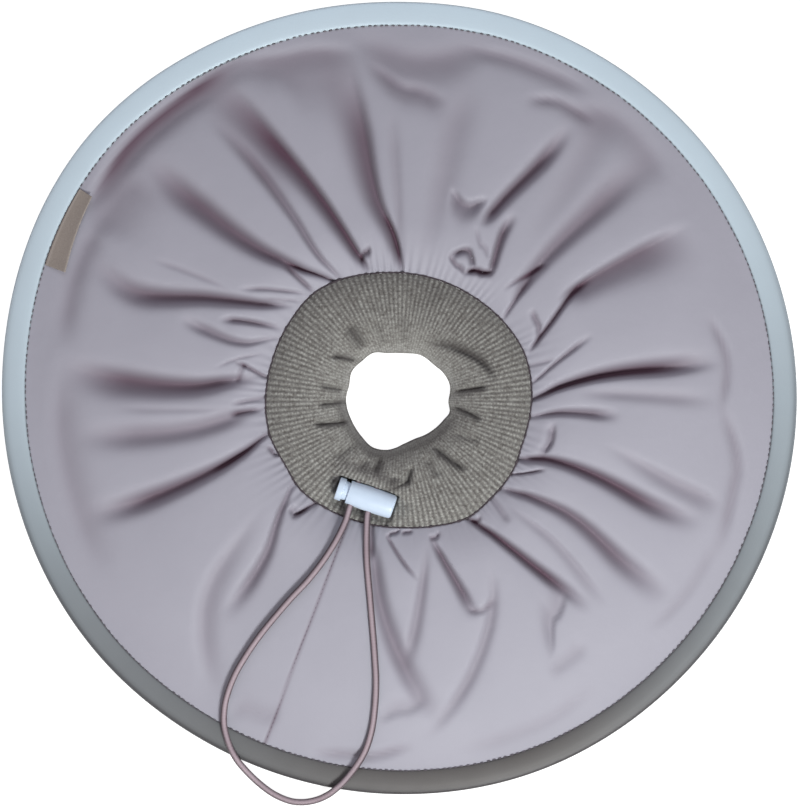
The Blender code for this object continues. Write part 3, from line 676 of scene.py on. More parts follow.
def fold_shade(fold, bearing, share, radius):
    """Shade and depth of one valley. Its depth has a wide, shallow skirt as well."""
    bearings_along = (fold.root, fold.heel, fold.knee, fold.waist, fold.toe)
    valley = smooth_curve(FOLD_SHARES, bearings_along, share)
    across = radius * np.radians(bearing_difference(bearing, valley))
    half = MILLIMETRE * (fold.narrow + (fold.wide - fold.narrow) * share)
    spread = np.abs(across / (half * np.where(across > 0, 1 + fold.lean, 1 - fold.lean)))
    strength = fold.depth * fold_strength(fold, share)
    core = strength * np.exp(-spread ** FOLD_EDGE)
    skirt = strength * np.exp(-(spread / SKIRT_SPREAD) ** 2)
    scale = FOLD_DEPTH * half / (half + DEEP_HALF_WIDTH)
    return core, scale * (core + SKIRT_SHARE * skirt)


def hollow_shade(hollow, bearing, share, radius):
    along = bearing_difference(bearing, hollow.first) / (hollow.last - hollow.first)
    first_half = hollow.start + (hollow.middle - hollow.start) * smooth_step(2 * along)
    last_half = hollow.middle + (hollow.finish - hollow.middle) * smooth_step(2 * along - 1)
    middle = wall_radius(bearing, np.where(along < 0.5, first_half, last_half))
    across = radius - middle
    half = MILLIMETRE * np.where(across > 0, hollow.outward, hollow.inward)
    ends = smooth_step(along / HOLLOW_END_SHARE) * smooth_step((1 - along) / HOLLOW_END_SHARE)
    core = hollow.depth * ends * np.exp(-(np.abs(across) / half) ** HOLLOW_EDGE)
    widest = MILLIMETRE * max(hollow.outward, hollow.inward)
    return core, FOLD_DEPTH * core * widest / (widest + DEEP_HALF_WIDTH)


DOME_ROWS = (
    (0.0, 1.0), (0.22, 1.0), (0.35, 0.95), (0.50, 0.84), (0.65, 0.67), (0.78, 0.46),
    (0.88, 0.25), (0.96, 0.07), (1.0, 0.0),
)
SEAM_DROP_END = 0.20


def dome_height(share):
    """Height of the wall's crests."""
    rise = row_curve(DOME_ROWS, share)
    drop = (DOME_HEIGHT - SEAM_HEIGHT) * np.maximum(0.0, 1 - share / SEAM_DROP_END) ** 2
    return EDGE_TOP + (DOME_HEIGHT - EDGE_TOP) * rise - drop


def wall_folds(bearing, share):
    """How dark each place lies in the folds, 0 to about 0.8, and how deep, in metres."""
    radius = wall_radius(bearing, share)
    shade = np.zeros(np.broadcast(bearing, share).shape)
    dip = np.zeros_like(shade)
    for rows, row_shade in ((FOLDS, fold_shade), (HOLLOWS, hollow_shade)):
        for row in rows:
            dark, deep = row_shade(row, bearing, share, radius)
            shade += dark
            dip += deep
    room = dome_height(share) - LOWEST_WALL
    return shade, room * np.tanh(dip / room)


# %% [markdown]
# ## Where the cord presses
# The cord lies on the pillows between the folds. Cloth gives way under it, so the wall is pressed
# down to just below the cord wherever it would be higher.

# %% Room for the cord
CORD_REACH = 0.006
POINTS_AT_ONCE = 4000


def under_cord(points, clearance=0.00012, give=2.0):
    """Lowers points that would touch the cord. Beside it they may rise by give per metre."""
    free = cord_line[::4]
    lowered = points.copy().reshape(-1, 3)
    box_low = free.min(axis=0) - CORD_REACH
    box_high = free.max(axis=0) + CORD_REACH
    near = np.all((lowered[:, :2] > box_low[:2]) & (lowered[:, :2] < box_high[:2]), axis=1)
    index = np.flatnonzero(near)
    for chunk in np.array_split(index, max(1, len(index) // POINTS_AT_ONCE)):
        gap = lowered[chunk, None, :2] - free[None, :, :2]
        away = np.hypot(gap[..., 0], gap[..., 1])
        limit = free[None, :, 2] - CORD_DIAMETER / 2 - clearance
        limit = (limit + give * np.maximum(0.0, away - CORD_DIAMETER * 0.45)).min(axis=1)
        lowered[chunk, 2] = np.minimum(lowered[chunk, 2], limit)
    return lowered.reshape(points.shape)


# %% [markdown]
# ## The gathered wall
# The wall is one sheet of quads that follows the table. Its rows are closest near the seam, where
# the gathers are finest. The outermost rows run on under the tape and the innermost ones turn
# down into the seam.

# %% Upper face of the wall
WALL_COLUMNS = 840
WALL_ROWS = 96
GATHERS = 117
GATHER_HEIGHT = 0.00036
GATHER_FADE = 0.06
JOIN_BEARINGS = (247.3, 247.5, 247.9, 248.2, 248.6)
JOIN_HALF = 0.0006
JOIN_DEPTH = 0.0003
JOIN_SHADE = 0.35
SEAM_TURN = 0.0022
SEAM_TURN_SHARE = 0.988
SEAM_SHADE = 0.75
TUCK_RUN = 0.0020
TUCK_HEIGHTS = (0.0031, 0.0025)
TUCK_INSET = 0.0022


def uneven(bearing, seed, waves=(3, 5, 9, 14, 23)):
    """A repeatable uneven value round the ring, about -1 to 1."""
    total = 0.0
    for number, wave in enumerate(waves):
        turned = math.sin(12.9898 * (seed + number)) * 43758.5453
        phase = 2 * math.pi * (turned - math.floor(turned))
        total = total + np.sin(np.radians(bearing) * wave + phase) / (1 + 0.4 * number)
    return total / 2.2


def join_distance(bearing, share):
    """Distance across from the seam that joins the wall's two ends."""
    seam = smooth_curve(FOLD_SHARES, JOIN_BEARINGS, share)
    return wall_radius(bearing, share) * np.radians(bearing_difference(bearing, seam))


def wall_surface(bearing, share):
    """The wall's upper face and its shade, at a share from 0 at the seam to 1 at the tape."""
    shade, dip = wall_folds(bearing, share)
    gather = np.sin(np.radians(bearing) * GATHERS + 5 * uneven(bearing, 4) + 6 * share)
    gather *= GATHER_HEIGHT * (0.55 + 0.7 * uneven(bearing, 9)) * np.exp(-share / GATHER_FADE)
    join = np.exp(-np.abs(join_distance(bearing, share) / JOIN_HALF) ** 1.5)
    height = dome_height(share) - dip + gather - JOIN_DEPTH * join
    points = polar(wall_radius(bearing, share), bearing, height)
    return under_cord(points), shade + JOIN_SHADE * join


def wall_shares(rows):
    """Shares of the wall's width for its rows, closest together near the seam."""
    steps = np.linspace(0.0, 1.0, rows)[:, None]
    return steps * (0.45 + 0.55 * steps)


bearings = ring_bearings(WALL_COLUMNS)
wall_points, wall_shade = wall_surface(bearings, wall_shares(WALL_ROWS))

turned_in = wall_points[:1] - np.array((0.0, 0.0, SEAM_TURN))
turned_in[..., :2] *= SEAM_TURN_SHARE
under_tape = polar(tape_inner_edge(bearings) + TUCK_RUN, bearings, TUCK_HEIGHTS[0])
tucked = polar(rim_edge(bearings) - TUCK_INSET, bearings, TUCK_HEIGHTS[1])
outer_points = np.concatenate([turned_in, wall_points, under_tape, tucked])
cloth_wall = add_quads("cloth_wall", outer_points)
flat_rows = np.zeros((2, WALL_COLUMNS))
edge_shade = np.concatenate([np.full((1, WALL_COLUMNS), SEAM_SHADE), wall_shade, flat_rows])
store(cloth_wall, "fold_shade", edge_shade)
print("wall:", len(cloth_wall.data.polygons), "faces")

# %% [markdown]
# ## Lilac cloth
# The cloth is a smooth lilac-grey polyester. Light that bounces about in a fold takes up the
# cloth's own colour several times, so the valleys turn plum. The stored shade of the folds tints
# them, and a fine weave gives the crests a slightly uneven gloss.

# %% Finish of the cloth
LILAC = screen_colour(159, 158, 168)
PLUM = screen_colour(78, 47, 64)


def cloth_finish(name, tint):
    finish = Finish(name, LILAC, 0.62, Sheen_Weight=0.12, Specular_IOR_Level=0.35)
    mask = (finish.stored("fold_shade") * tint).held(0.0, 0.94)
    patch = finish.noise(26, 3.0)
    pale = finish.blend(patch, screen_colour(154, 153, 163), screen_colour(162, 161, 171))
    finish.set(**{"Base Color": finish.blend(mask, pale, PLUM)})
    fine = finish.noise(2600, 2.0)
    crumple = finish.noise(150, 3.0)
    finish.relief(crumple + fine * 0.12, 0.0005, 0.35)
    return finish


lilac_cloth = cloth_finish("lilac_cloth", 1.60)
dress(cloth_wall, lilac_cloth.material, "cone")
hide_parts("shell_panel")
print("wall finished")

# %% [markdown]
# ## The lining
# Inside the cone the wall has a lining of the same cloth. It is seen only from below, so a
# coarser sheet 1.6 mm under the wall is enough.

# %% Lining under the wall
LINING_DROP = 0.0016
LINING_COLUMNS = 420
LINING_ROWS = 48
LINING_TURN = 0.0004
LINING_TUCK_HEIGHT = 0.0012
lining_bearings = ring_bearings(LINING_COLUMNS)
lining_points = wall_surface(lining_bearings, wall_shares(LINING_ROWS))[0]
lining_points[..., 2] -= LINING_DROP
inner_turn = lining_points[:1] + np.array((0.0, 0.0, LINING_TURN))
lining_tuck = polar(rim_edge(lining_bearings) - TUCK_INSET, lining_bearings, LINING_TUCK_HEIGHT)
lining_rows = np.concatenate([inner_turn, lining_points, lining_tuck])
cone_lining = add_quads("cone_lining", lining_rows, flip=True)
store(cone_lining, "fold_shade", np.zeros(len(cone_lining.data.vertices)))
dress(cone_lining, cloth_finish("lilac_lining", 0.0).material, "cone")
print("lining:", len(cone_lining.data.polygons), "faces")

# %% [markdown]
# ## Tape round the rim
# A flat reflective tape is folded over the wall's edge and sewn through. Its two layers lie a
# little crowned, higher over the cloth and lower at the fold. A turned ring would be too even, so
# the section is repeated at many bearings and follows the rim's own outline with small waves.

# %% Folded tape
TAPE_COLUMNS = 720
TAPE_TOP = 0.0040
TAPE_MIDDLE = 0.0018
TAPE_FOLD = 0.0017
TAPE_FOLD_RISE = 0.0015
TAPE_RIPPLE = 0.00012
TAPE_BUMPS = 0.00006
FOLD_TURNS = (70, 50, 30, 10, -10, -30, -50, -70)


def tape_section():
    """(inward from the rim, height) round the tape's section, from its inner edge on top."""
    top = [(BINDING_WIDTH - inset, TAPE_TOP - drop) for inset, drop in (
        (0.0000, 0.0011), (0.0002, 0.0007), (0.0006, 0.00035), (0.0012, 0.00012), (0.0025, 0.0),
        (0.0042, 0.00002), (0.0060, 0.00012), (0.0076, 0.0003), (0.0090, 0.00055),
    )]
    fold = [
        (TAPE_FOLD * (1 - math.cos(turn)), TAPE_MIDDLE + TAPE_FOLD_RISE * math.sin(turn))
        for turn in np.radians(FOLD_TURNS)
    ]
    under = [(0.0030, 0.0), (0.0060, 0.0), (0.0090, 0.0), (BINDING_WIDTH, 0.0001)]
    groove = [
        (BINDING_WIDTH, 0.00085), (0.0060, 0.0009), (0.0016, 0.0011), (0.0014, 0.0018),
        (0.0016, 0.0027), (0.0060, 0.00305), (BINDING_WIDTH - 0.0004, 0.0029),
    ]
    return np.array(top + fold + under + groove)


tape_bearings = ring_bearings(TAPE_COLUMNS)
section = tape_section()
inset = section[:, :1]
lift = section[:, 1:]
near_edge = np.clip(inset / BINDING_WIDTH, 0.0, 1.0) ** 3
ripple = TAPE_RIPPLE * uneven(tape_bearings, 21, (11, 17, 29, 43, 61)) * near_edge
bumps = TAPE_BUMPS * uneven(tape_bearings, 31, (9, 15, 27, 52, 80)) * (lift > 0.003)
tape_points = polar(rim_edge(tape_bearings) - inset + ripple, tape_bearings, lift - np.abs(bumps))
rim_tape = add_quads("rim_tape", tape_points, closed_across=True)
print("tape:", len(rim_tape.data.polygons), "faces")

# %% [markdown]
# ## Silver tape
# The tape is satin, a fine film of glass beads on grey cloth. It looks pale blue towards the
# window and warm grey away from it, by reflection. A slow change of tint round the ring is painted
# reflection in the same sense, and adds to the real one.

# %% Finish of the tape
silver_tape = Finish("silver_tape", screen_colour(160, 168, 176), 0.42, Specular_IOR_Level=0.35)
# Painted reflection: the stored share turns the tape pale blue towards the window and warm grey away
# from it.
tape_share = silver_tape.stored("towards_window")
grain = silver_tape.noise(2400, 2.0)
streak = silver_tape.noise(60, 3.0)
tint = silver_tape.blend(tape_share, screen_colour(80, 77, 75), screen_colour(198, 216, 226))
reflection_and_wear = silver_tape.blend((streak * 0.10 + grain * 0.08).held(), tint, screen_colour(150, 150, 152))
edged = silver_tape.blend(silver_tape.stored("dark_edge"), reflection_and_wear, screen_colour(54, 52, 54))
silver_tape.set(**{"Base Color": edged, "Metallic": 0.15, "Roughness": grain * 0.12 + 0.42})
silver_tape.relief(grain + streak * 0.6, 0.0001, 0.25)
# Painted reflection round the ring: 1 towards the window, 0 away from it.
PAINTED_REFLECTION_ROWS = (
    (0, 0.54), (30, 0.88), (60, 0.97), (90, 1.00), (120, 0.99), (150, 0.93), (180, 0.74),
    (210, 0.28), (240, 0.10), (270, 0.00), (300, 0.03), (330, 0.22),
)

# Painted shade makes the tape darker along its sewn edge, on its rounding away from the window,
# and at its outline.
SEWN_EDGE_DARK = 0.62
ROUNDING_DARK = 0.8
OUTLINE_DARK = 0.7
upper = lift > 0.0010
sewn_edge = np.where(upper, smooth_step((inset - BINDING_WIDTH + 0.0010) / 0.0006), 0.0)
painted_reflection_share = np.broadcast_to(ring_share(PAINTED_REFLECTION_ROWS, tape_bearings), tape_points.shape[:2])
store(rim_tape, "towards_window", painted_reflection_share)
rounding = ROUNDING_DARK * (1 - painted_reflection_share) * smooth_step((0.0030 - inset) / 0.0022)
outline = OUTLINE_DARK * smooth_step((0.0005 - inset) / 0.0005)
edges = np.maximum(SEWN_EDGE_DARK * sewn_edge, np.maximum(rounding, outline))
store(rim_tape, "dark_edge", edges)
dress(rim_tape, silver_tape.material, "cone")
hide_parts("rim_binding")
print("tape finished")

# %% [markdown]
# ## Stitches
# The tape is sewn down close to its inner edge with a dark grey thread. Each stitch is a short
# length of thread that dips at both ends, so each is a small closed capsule. They are joined into
# one piece, which keeps the scene light.

# %% Stitches along the tape
STITCHES = 372
STITCH_LENGTH = 0.0018
STITCH_RADIUS = 0.00025
STITCH_INSET = 0.00042
STITCH_HEIGHT = 0.00383
STITCH_WANDER = 0.00016
STITCH_SLANT = 5


def stitch_points(middle, ahead, upward, length, radius, rings=7, sides=8):
    """Points of one stitch: a capsule that sinks at both ends."""
    side = np.cross(upward, ahead)
    turn = full_turn(sides)
    rows = []
    for place in np.linspace(-1.0, 1.0, rings):
        thick = radius * math.sqrt(max(0.0, 1 - place ** 4))
        centre = middle + ahead * (place * length / 2) - upward * (0.9 * radius * place ** 2)
        circle = side[None, :] * np.cos(turn)[:, None] + upward[None, :] * np.sin(turn)[:, None]
        rows.append(centre + thick * circle)
    return np.array(rows)


def joined_stitches(name, one_stitch, count):
    """Many stitches as one mesh, from a function that gives the points of each."""
    points = []
    faces = []
    for number in range(count):
        stitch = one_stitch(number)
        rows, sides = stitch.shape[:2]
        first = len(points)
        points.extend(stitch.reshape(-1, 3).tolist())
        for row in range(rows - 1):
            for side in range(sides):
                low = first + row * sides
                beside = (side + 1) % sides
                faces.append((low + side, low + beside, low + sides + beside, low + sides + side))
    mesh = bpy.data.meshes.new(name)
    mesh.from_pydata(points, [], faces)
    mesh.shade_smooth()
    return weld(add_object(name, mesh))


UP = np.array((0.0, 0.0, 1.0))


def rim_stitch(number):
    bearing = TURN * (number + 0.25 * float(uneven(number * 11.3, 3))) / STITCHES
    wander = STITCH_WANDER * float(uneven(bearing * 7.0, 12))
    radius = float(tape_inner_edge(bearing)) + STITCH_INSET + wander
    middle = polar(radius, bearing, STITCH_HEIGHT)
    ahead = polar(1.0, bearing + 90 + STITCH_SLANT * float(uneven(bearing * 19.0, 17)), 0.0)
    return stitch_points(middle, ahead, UP, STITCH_LENGTH, STITCH_RADIUS)


rim_stitches = joined_stitches("rim_stitches", rim_stitch, STITCHES)
thread = thread_material("dark_thread", (92, 88, 94), 0.75, 900, 2.0, (70, 66, 72), (118, 112, 118))
dress(rim_stitches, thread, "cone")
print("stitches:", STITCHES)

# %% [markdown]
# ## The joining seam
# The wall is cut as a flat sector and closed by one sewn seam, which lies between the two strands
# of the cord. It shows as a shallow groove with small stitches in it.

# %% Stitches of the joining seam
JOIN_STITCHES = 46
JOIN_STITCH_HALF = 0.006
JOIN_STITCH_RADIUS = 0.00014
JOIN_STITCH_LIFT = 0.00004


def join_stitch(number):
    share = 0.03 + 0.95 * (number + 0.5) / JOIN_STITCHES
    ends = [share - JOIN_STITCH_HALF, share + JOIN_STITCH_HALF]
    seam = smooth_curve(FOLD_SHARES, JOIN_BEARINGS, np.array(ends))
    points = [wall_surface(np.array([[b]]), np.array([[s]]))[0][0, 0] for b, s in zip(seam, ends)]
    ahead = points[1] - points[0]
    length = float(np.linalg.norm(ahead))
    ahead = ahead / length
    upward = np.cross(ahead, np.cross(UP, ahead))
    middle = (points[0] + points[1]) / 2 + JOIN_STITCH_LIFT * upward
    return stitch_points(middle, ahead, upward, length, JOIN_STITCH_RADIUS)


join_stitches = joined_stitches("join_stitches", join_stitch, JOIN_STITCHES)
thread = thread_material("lilac_thread", (112, 102, 114), 0.7, 700, 1.0, (74, 64, 76), (108, 98, 110))
dress(join_stitches, thread, "cone")
print("stitches of the joining seam:", JOIN_STITCHES)

# %% [markdown]
# ## The knit cuff
# The cuff is a doubled rib knit, grey melange, drawn in round the neck hole. Fine ribs run
# towards the hole, with the knit's courses across them, and a few soft creases where the cuff is
# drawn in. The lock lies in a shallow bed, with a roll of knit behind it. The ribs are real
# relief here, because they show in outline along the seam and in the creases.

# %% Shape of the cuff
CUFF_THICKNESS = 0.0030
CUFF_HEIGHT = 0.0180
NECK_RADIUS = 0.0227
NECK_EDGE_HEIGHT = 0.0026
PLEAT_DEPTH = 0.0026
CUFF_DROP_END = 0.30

# The lock, and the bed, saddle and roll of knit round it.
GAP = 0.0003
BARREL_DIAMETER = 0.0115
BARREL_LENGTH = 0.0217
LOCK_BEARING = 250.8
LOCK_PLACE = 0.336
LOCK_BED_HEIGHT = 0.0125
LOCK_MOUTH = 0.0082
HEAD_GAP = 0.0023
HEAD_LENGTH = 0.0030
BED_END_MARGIN = -0.0005
BED_END_FADE = 0.0018
BED_FRONT_MARGIN = -0.0010
BED_FRONT_FADE = 0.0050
BED_SIDE_FADE = 0.0040
SADDLE_HEIGHT = 0.0146
SADDLE_SIDES = 0.0100
SADDLE_PULL = 0.9
ROLL_RISE = 0.0022
ROLL_WIDTH = 0.0085
ROLL_NEAR_RUN = 0.0030
ROLL_CREST_WIDTH = 0.0022
ROLL_FACE_RUN = 0.0007
ROLL_TOUCH = 0.0053
NECK_ROWS = (
    (0, 0.99), (15, 1.05), (30, 1.03), (45, 0.98), (65, 0.985), (85, 0.935), (105, 0.965),
    (120, 1.08), (135, 1.09), (150, 1.125), (165, 1.07), (180, 1.095), (205, 1.075),
    (225, 1.09), (240, 1.125), (255, 1.07), (265, 0.995), (275, 0.915), (290, 0.865),
    (305, 0.89), (320, 0.93), (335, 0.985), (345, 1.04), (355, 0.99),
)
CUFF_ROWS = (
    (0.0, 1.0), (0.45, 1.0), (0.60, 0.96), (0.70, 0.88), (0.80, 0.73), (0.88, 0.54),
    (0.94, 0.34), (1.0, 0.0),
)
# A crease runs from an outer bearing and radius to an inner one, radii and half width in mm.
Crease = namedtuple("Crease", "outer_bearing outer_radius inner_bearing inner_radius depth half")
CREASES = [Crease(*row) for row in (
    (12, 46, 66, 26, 1.0, 5.0), (12, 45, 48, 31, 0.5, 2.2), (8.3, 41, 7.3, 23, 1.2, 1.2),
    (345.5, 39, 353, 22, 1.2, 1.5), (333, 42, 327, 27, 0.5, 1.8), (313.5, 45, 304, 23, 1.3, 1.6),
    (297, 40, 293, 27, 0.6, 2.0), (274, 40, 280, 30, 1.2, 1.2), (257, 44, 276, 37, 1.1, 1.4),
    (263, 41, 266, 34, 0.5, 2.2), (252, 37, 252, 27, 1.2, 2.0), (240, 38, 243, 30, 0.6, 1.8),
    (221, 41, 226, 26, 0.6, 2.4), (195.5, 42, 204, 24, 1.2, 1.2), (184, 38, 182.5, 23, 1.0, 1.2),
    (170, 38, 171, 24, 0.9, 1.2), (149, 38, 137, 24, 1.2, 1.3), (125, 42, 125, 27, 1.1, 2.8),
    (108, 38, 106, 24, 0.4, 2.2), (88, 40, 86, 24, 0.3, 2.5), (72, 56, 72, 44, 0.3, 4.0),
)]


def neck_edge(bearing):
    return NECK_RADIUS * ring_share(NECK_ROWS, bearing)


def cuff_radius(bearing, share):
    outer = seam_edge(bearing) - SEAM_GAP / 2
    return outer + (neck_edge(bearing) - outer) * share


def lock_distance():
    outer = float(seam_edge(LOCK_BEARING))
    return outer - (outer - float(neck_edge(LOCK_BEARING))) * LOCK_PLACE


def lock_axis_height():
    return LOCK_BED_HEIGHT + GAP + BARREL_DIAMETER / 2


def ramp(value, full, none):
    """1 up to the value full, falling smoothly to 0 at the value none."""
    return 1 - smooth_step((value - full) / (none - full))


def crease_shade(bearing, share):
    """How far each place lies in a crease, 0 to 1."""
    radius = cuff_radius(bearing, share)
    total = np.zeros(np.broadcast(bearing, share).shape)
    for crease in CREASES:
        run = crease.outer_radius - crease.inner_radius
        held = np.clip((crease.outer_radius - radius / MILLIMETRE) / run, 0.0, 1.0)
        middle = crease.outer_bearing + (crease.inner_bearing - crease.outer_bearing) * held
        across = radius * np.radians(bearing_difference(bearing, middle))
        strength = smooth_step(4 * held) * smooth_step(3 * (1 - held))
        total += crease.depth * strength * np.exp(-np.abs(across / (MILLIMETRE * crease.half)) ** 1.5)
    return total


def cuff_height(bearing, share):
    """Height of the cuff's upper face, without its ribs."""
    rise = row_curve(CUFF_ROWS, share)
    height = NECK_EDGE_HEIGHT + (CUFF_HEIGHT - NECK_EDGE_HEIGHT) * rise
    height = height - (CUFF_HEIGHT - SEAM_HEIGHT) * np.maximum(0.0, 1 - share / CUFF_DROP_END) ** 2
    height = height - PLEAT_DEPTH * crease_shade(bearing, share)
    place = polar(cuff_radius(bearing, share), bearing - LOCK_BEARING, 0.0)
    outward = place[..., 0] - lock_distance()
    bed_side = BARREL_DIAMETER / 2 + GAP
    half_lock = max(LOCK_MOUTH + HEAD_GAP + HEAD_LENGTH, BARREL_LENGTH - LOCK_MOUTH)
    bed_end = half_lock + BED_END_MARGIN
    here = np.where(place[..., 0] > 0, 1.0, 0.0)
    sideways = here * ramp(np.abs(place[..., 1]), bed_end, bed_end + BED_END_FADE)
    beside = here * ramp(np.abs(place[..., 1]), bed_end, bed_end + SADDLE_SIDES)
    saddle = beside * ramp(-outward, BED_SIDE_FADE, 2 * BED_SIDE_FADE)
    height = height + SADDLE_PULL * saddle * np.minimum(0.0, SADDLE_HEIGHT - height)
    roll = ramp(-outward, ROLL_TOUCH + ROLL_CREST_WIDTH, ROLL_TOUCH + ROLL_WIDTH)
    roll = roll * smooth_step(1 - (ROLL_TOUCH + outward) / ROLL_NEAR_RUN)
    height = height + beside * roll * (lock_axis_height() + ROLL_RISE - height)
    front = bed_side + BED_FRONT_MARGIN
    bed = ramp(outward, front, front + BED_FRONT_FADE)
    bed = bed * ramp(-outward, ROLL_TOUCH, ROLL_TOUCH + ROLL_FACE_RUN)
    return height + sideways * bed * (LOCK_BED_HEIGHT - height)


print("cuff width:", round(float(seam_edge(0) - neck_edge(0)), 4), "m")

# %% Ribs and courses of the knit
RIBS = 144
RIB_HEIGHT = 0.00040
COURSES = 25
CUFF_MESH_COLUMNS = RIBS * 6
CUFF_MESH_ROWS = 100

# Painted shade makes the cuff darker towards the top of the picture, on the steep wall of the hole
# next to the lock, and where it turns down into the seam.
SHADED_BEARING = 70
SHADED_DEPTH = 0.42
STEEP_BEARING = 262
STEEP_DEPTH = 0.95
STEEP_START = 0.84
STEEP_RUN = 0.10
PAINTED_SEAM_SHADE = 0.8
CUFF_SEAM_TURN = 0.0020
EDGE_ROLL = 0.0004
EDGE_LIFT = 0.0001


def knit_relief(bearing, share):
    """Relief of the knit, 0 in the grooves and 1 on the ribs."""
    drift = 6 * uneven(bearing, 41) * share
    bend = 1.5 * uneven(bearing, 47, (2, 3, 7, 11, 17)) * share
    rib = 0.5 + 0.5 * np.cos(np.radians(bearing) * RIBS + bend)
    course = 0.5 + 0.5 * np.cos(2 * math.pi * COURSES * share + drift)
    stitches = rib * (0.56 + 0.44 * course)
    return stitches + 0.5 * smooth_step((share - 0.35) / 0.5) * (0.72 - stitches)


def cuff_surface(bearing, share):
    height = cuff_height(bearing, share) + RIB_HEIGHT * (knit_relief(bearing, share) - 0.8)
    return polar(cuff_radius(bearing, share), bearing, height)


cuff_bearings = ring_bearings(CUFF_MESH_COLUMNS)
cuff_shares = np.linspace(0.0, 1.0, CUFF_MESH_ROWS)[:, None]
cuff_face = cuff_surface(cuff_bearings, cuff_shares)
relief_values = np.broadcast_to(knit_relief(cuff_bearings, cuff_shares), cuff_face.shape[:2])
far_side = 0.5 + 0.5 * np.cos(np.radians(cuff_bearings - SHADED_BEARING))
far_side = SHADED_DEPTH * far_side * (1 - 0.8 * cuff_shares)
steep_side = smooth_step(2.4 * np.cos(np.radians(cuff_bearings - STEEP_BEARING)))
hole_wall = STEEP_DEPTH * steep_side * smooth_step((cuff_shares - STEEP_START) / STEEP_RUN)
painted_shade_values = crease_shade(cuff_bearings, cuff_shares) + far_side + hole_wall


def turn_under(bearings):
    """Rows that roll the cuff's free edge under, at the neck hole."""
    rolled = np.radians((30, 60, 90, 120, 150, 180))[:, None]
    height = NECK_EDGE_HEIGHT / 2 * (1 + np.cos(rolled)) + EDGE_LIFT
    return polar(neck_edge(bearings) - EDGE_ROLL * np.sin(rolled), bearings, height)


def with_turned_rows(values, seam_extra=0.0):
    """Values of the cuff's face, carried on to the seam's turn and the rolled edge."""
    rolled = np.repeat(values[-1:], len(under_edge), axis=0)
    return np.concatenate([values[:1] + seam_extra, values, rolled])


under_edge = turn_under(cuff_bearings)
seam_turn = cuff_face[:1] - np.array((0.0, 0.0, CUFF_SEAM_TURN))
knit_points = np.concatenate([seam_turn, cuff_face, under_edge])
knit_cuff = add_quads("knit_cuff", knit_points, flip=True)
store(knit_cuff, "knit", with_turned_rows(relief_values))
# The stored crease values are all painted shade: in the creases, towards the top, on the hole's steep
# wall and at the seam's turn.
store(knit_cuff, "crease", with_turned_rows(painted_shade_values, PAINTED_SEAM_SHADE))
print("cuff:", len(knit_cuff.data.polygons), "faces")

# %% [markdown]
# ## Grey knit
# Melange yarn is spun from light and dark fibres, so its colour is flecked along each rib. The
# stored relief darkens the grooves with painted shade, the stored crease values add painted shade
# in the creases, towards the top, on the hole's wall and at the seam, and the noise makes the flecks.

# %% Finish of the knit


def knit_finish(name):
    finish = Finish(name, screen_colour(140, 139, 132), 0.95, Sheen_Weight=0.2)
    fleck = finish.add("ShaderNodeValToRGB", {"stops": ((0.34, 0.0), (0.68, 1.0))},
                       {0: finish.noise(760, 3.0, rough=0.7)})
    cloud = finish.noise(75, 2.0)
    light = finish.blend(cloud, screen_colour(162, 163, 158), screen_colour(194, 195, 188))
    yarn = finish.blend(fleck, screen_colour(112, 109, 104), light)
    # Painted shade: the grooves between the ribs and the stored crease values turn the yarn dark
    # grey.
    groove = ((1 - finish.stored("knit")) * 0.66).held()
    deep = (finish.stored("crease") * 0.62).held(0.0, 0.85)
    dark = screen_colour(56, 51, 50)
    finish.set(**{"Base Color": finish.blend(deep, finish.blend(groove, yarn, dark), dark)})
    finish.relief(finish.noise(2600, 2.0), 0.00025, 0.5)
    return finish


grey_knit = knit_finish("grey_knit")
dress(knit_cuff, grey_knit.material, "cone")
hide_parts("neck_cuff")
print("cuff finished")

# %% [markdown]
# ## The cuff's inner layer
# The knit is doubled, and its second layer shows from below. It lies 3 mm under the first one and
# meets it at the rolled edge of the neck hole.

# %% Inner layer of the cuff
LAYER_COLUMNS = RIBS * 2
LAYER_ROWS = 30
LAYER_EDGE_GAP = 0.0016
LAYER_EDGE_RISE = 0.0006
LAYER_LOWEST = 0.0002
layer_bearings = ring_bearings(LAYER_COLUMNS)
layer_shares = np.linspace(0.0, 1.0, LAYER_ROWS)[:, None]
edge_gap = LAYER_EDGE_GAP * smooth_step((layer_shares - 0.6) / 0.4)
layer_radius = cuff_radius(layer_bearings, layer_shares) + edge_gap
layer_drop = CUFF_THICKNESS - LAYER_EDGE_RISE * smooth_step((layer_shares - 0.7) / 0.3)
layer_height = np.maximum(cuff_height(layer_bearings, layer_shares) - layer_drop, LAYER_LOWEST)
cuff_layer = add_quads("cuff_layer", polar(layer_radius, layer_bearings, layer_height))
layer_relief = 0.5 + 0.5 * np.cos(np.radians(layer_bearings) * RIBS)
store(cuff_layer, "knit", np.broadcast_to(layer_relief, layer_height.shape))
store(cuff_layer, "crease", np.zeros(layer_height.shape))
dress(cuff_layer, knit_finish("grey_knit_inside").material, "cone")
print("inner layer:", len(cuff_layer.data.polygons), "faces")

# %% [markdown]
# ## Thread in the neck seam
# A dark overlock thread closes the seam between wall and cuff. Only bits of it show in the
# groove, so it is a thin cord that wanders up and down in it.

# %% Thread of the neck seam
THREAD_COLUMNS = 1440
THREAD_SIDES = 8
THREAD_RADIUS = 0.00046
THREAD_SWELL = 0.00014
THREAD_WANDER = 0.00016
THREAD_DEPTH = 0.0005
THREAD_RISE = 0.0003


def overlapped(values):
    """A closed row with its last value before the first one and its first one after the last."""
    return np.concatenate([values[-1:], values, values[:1]])


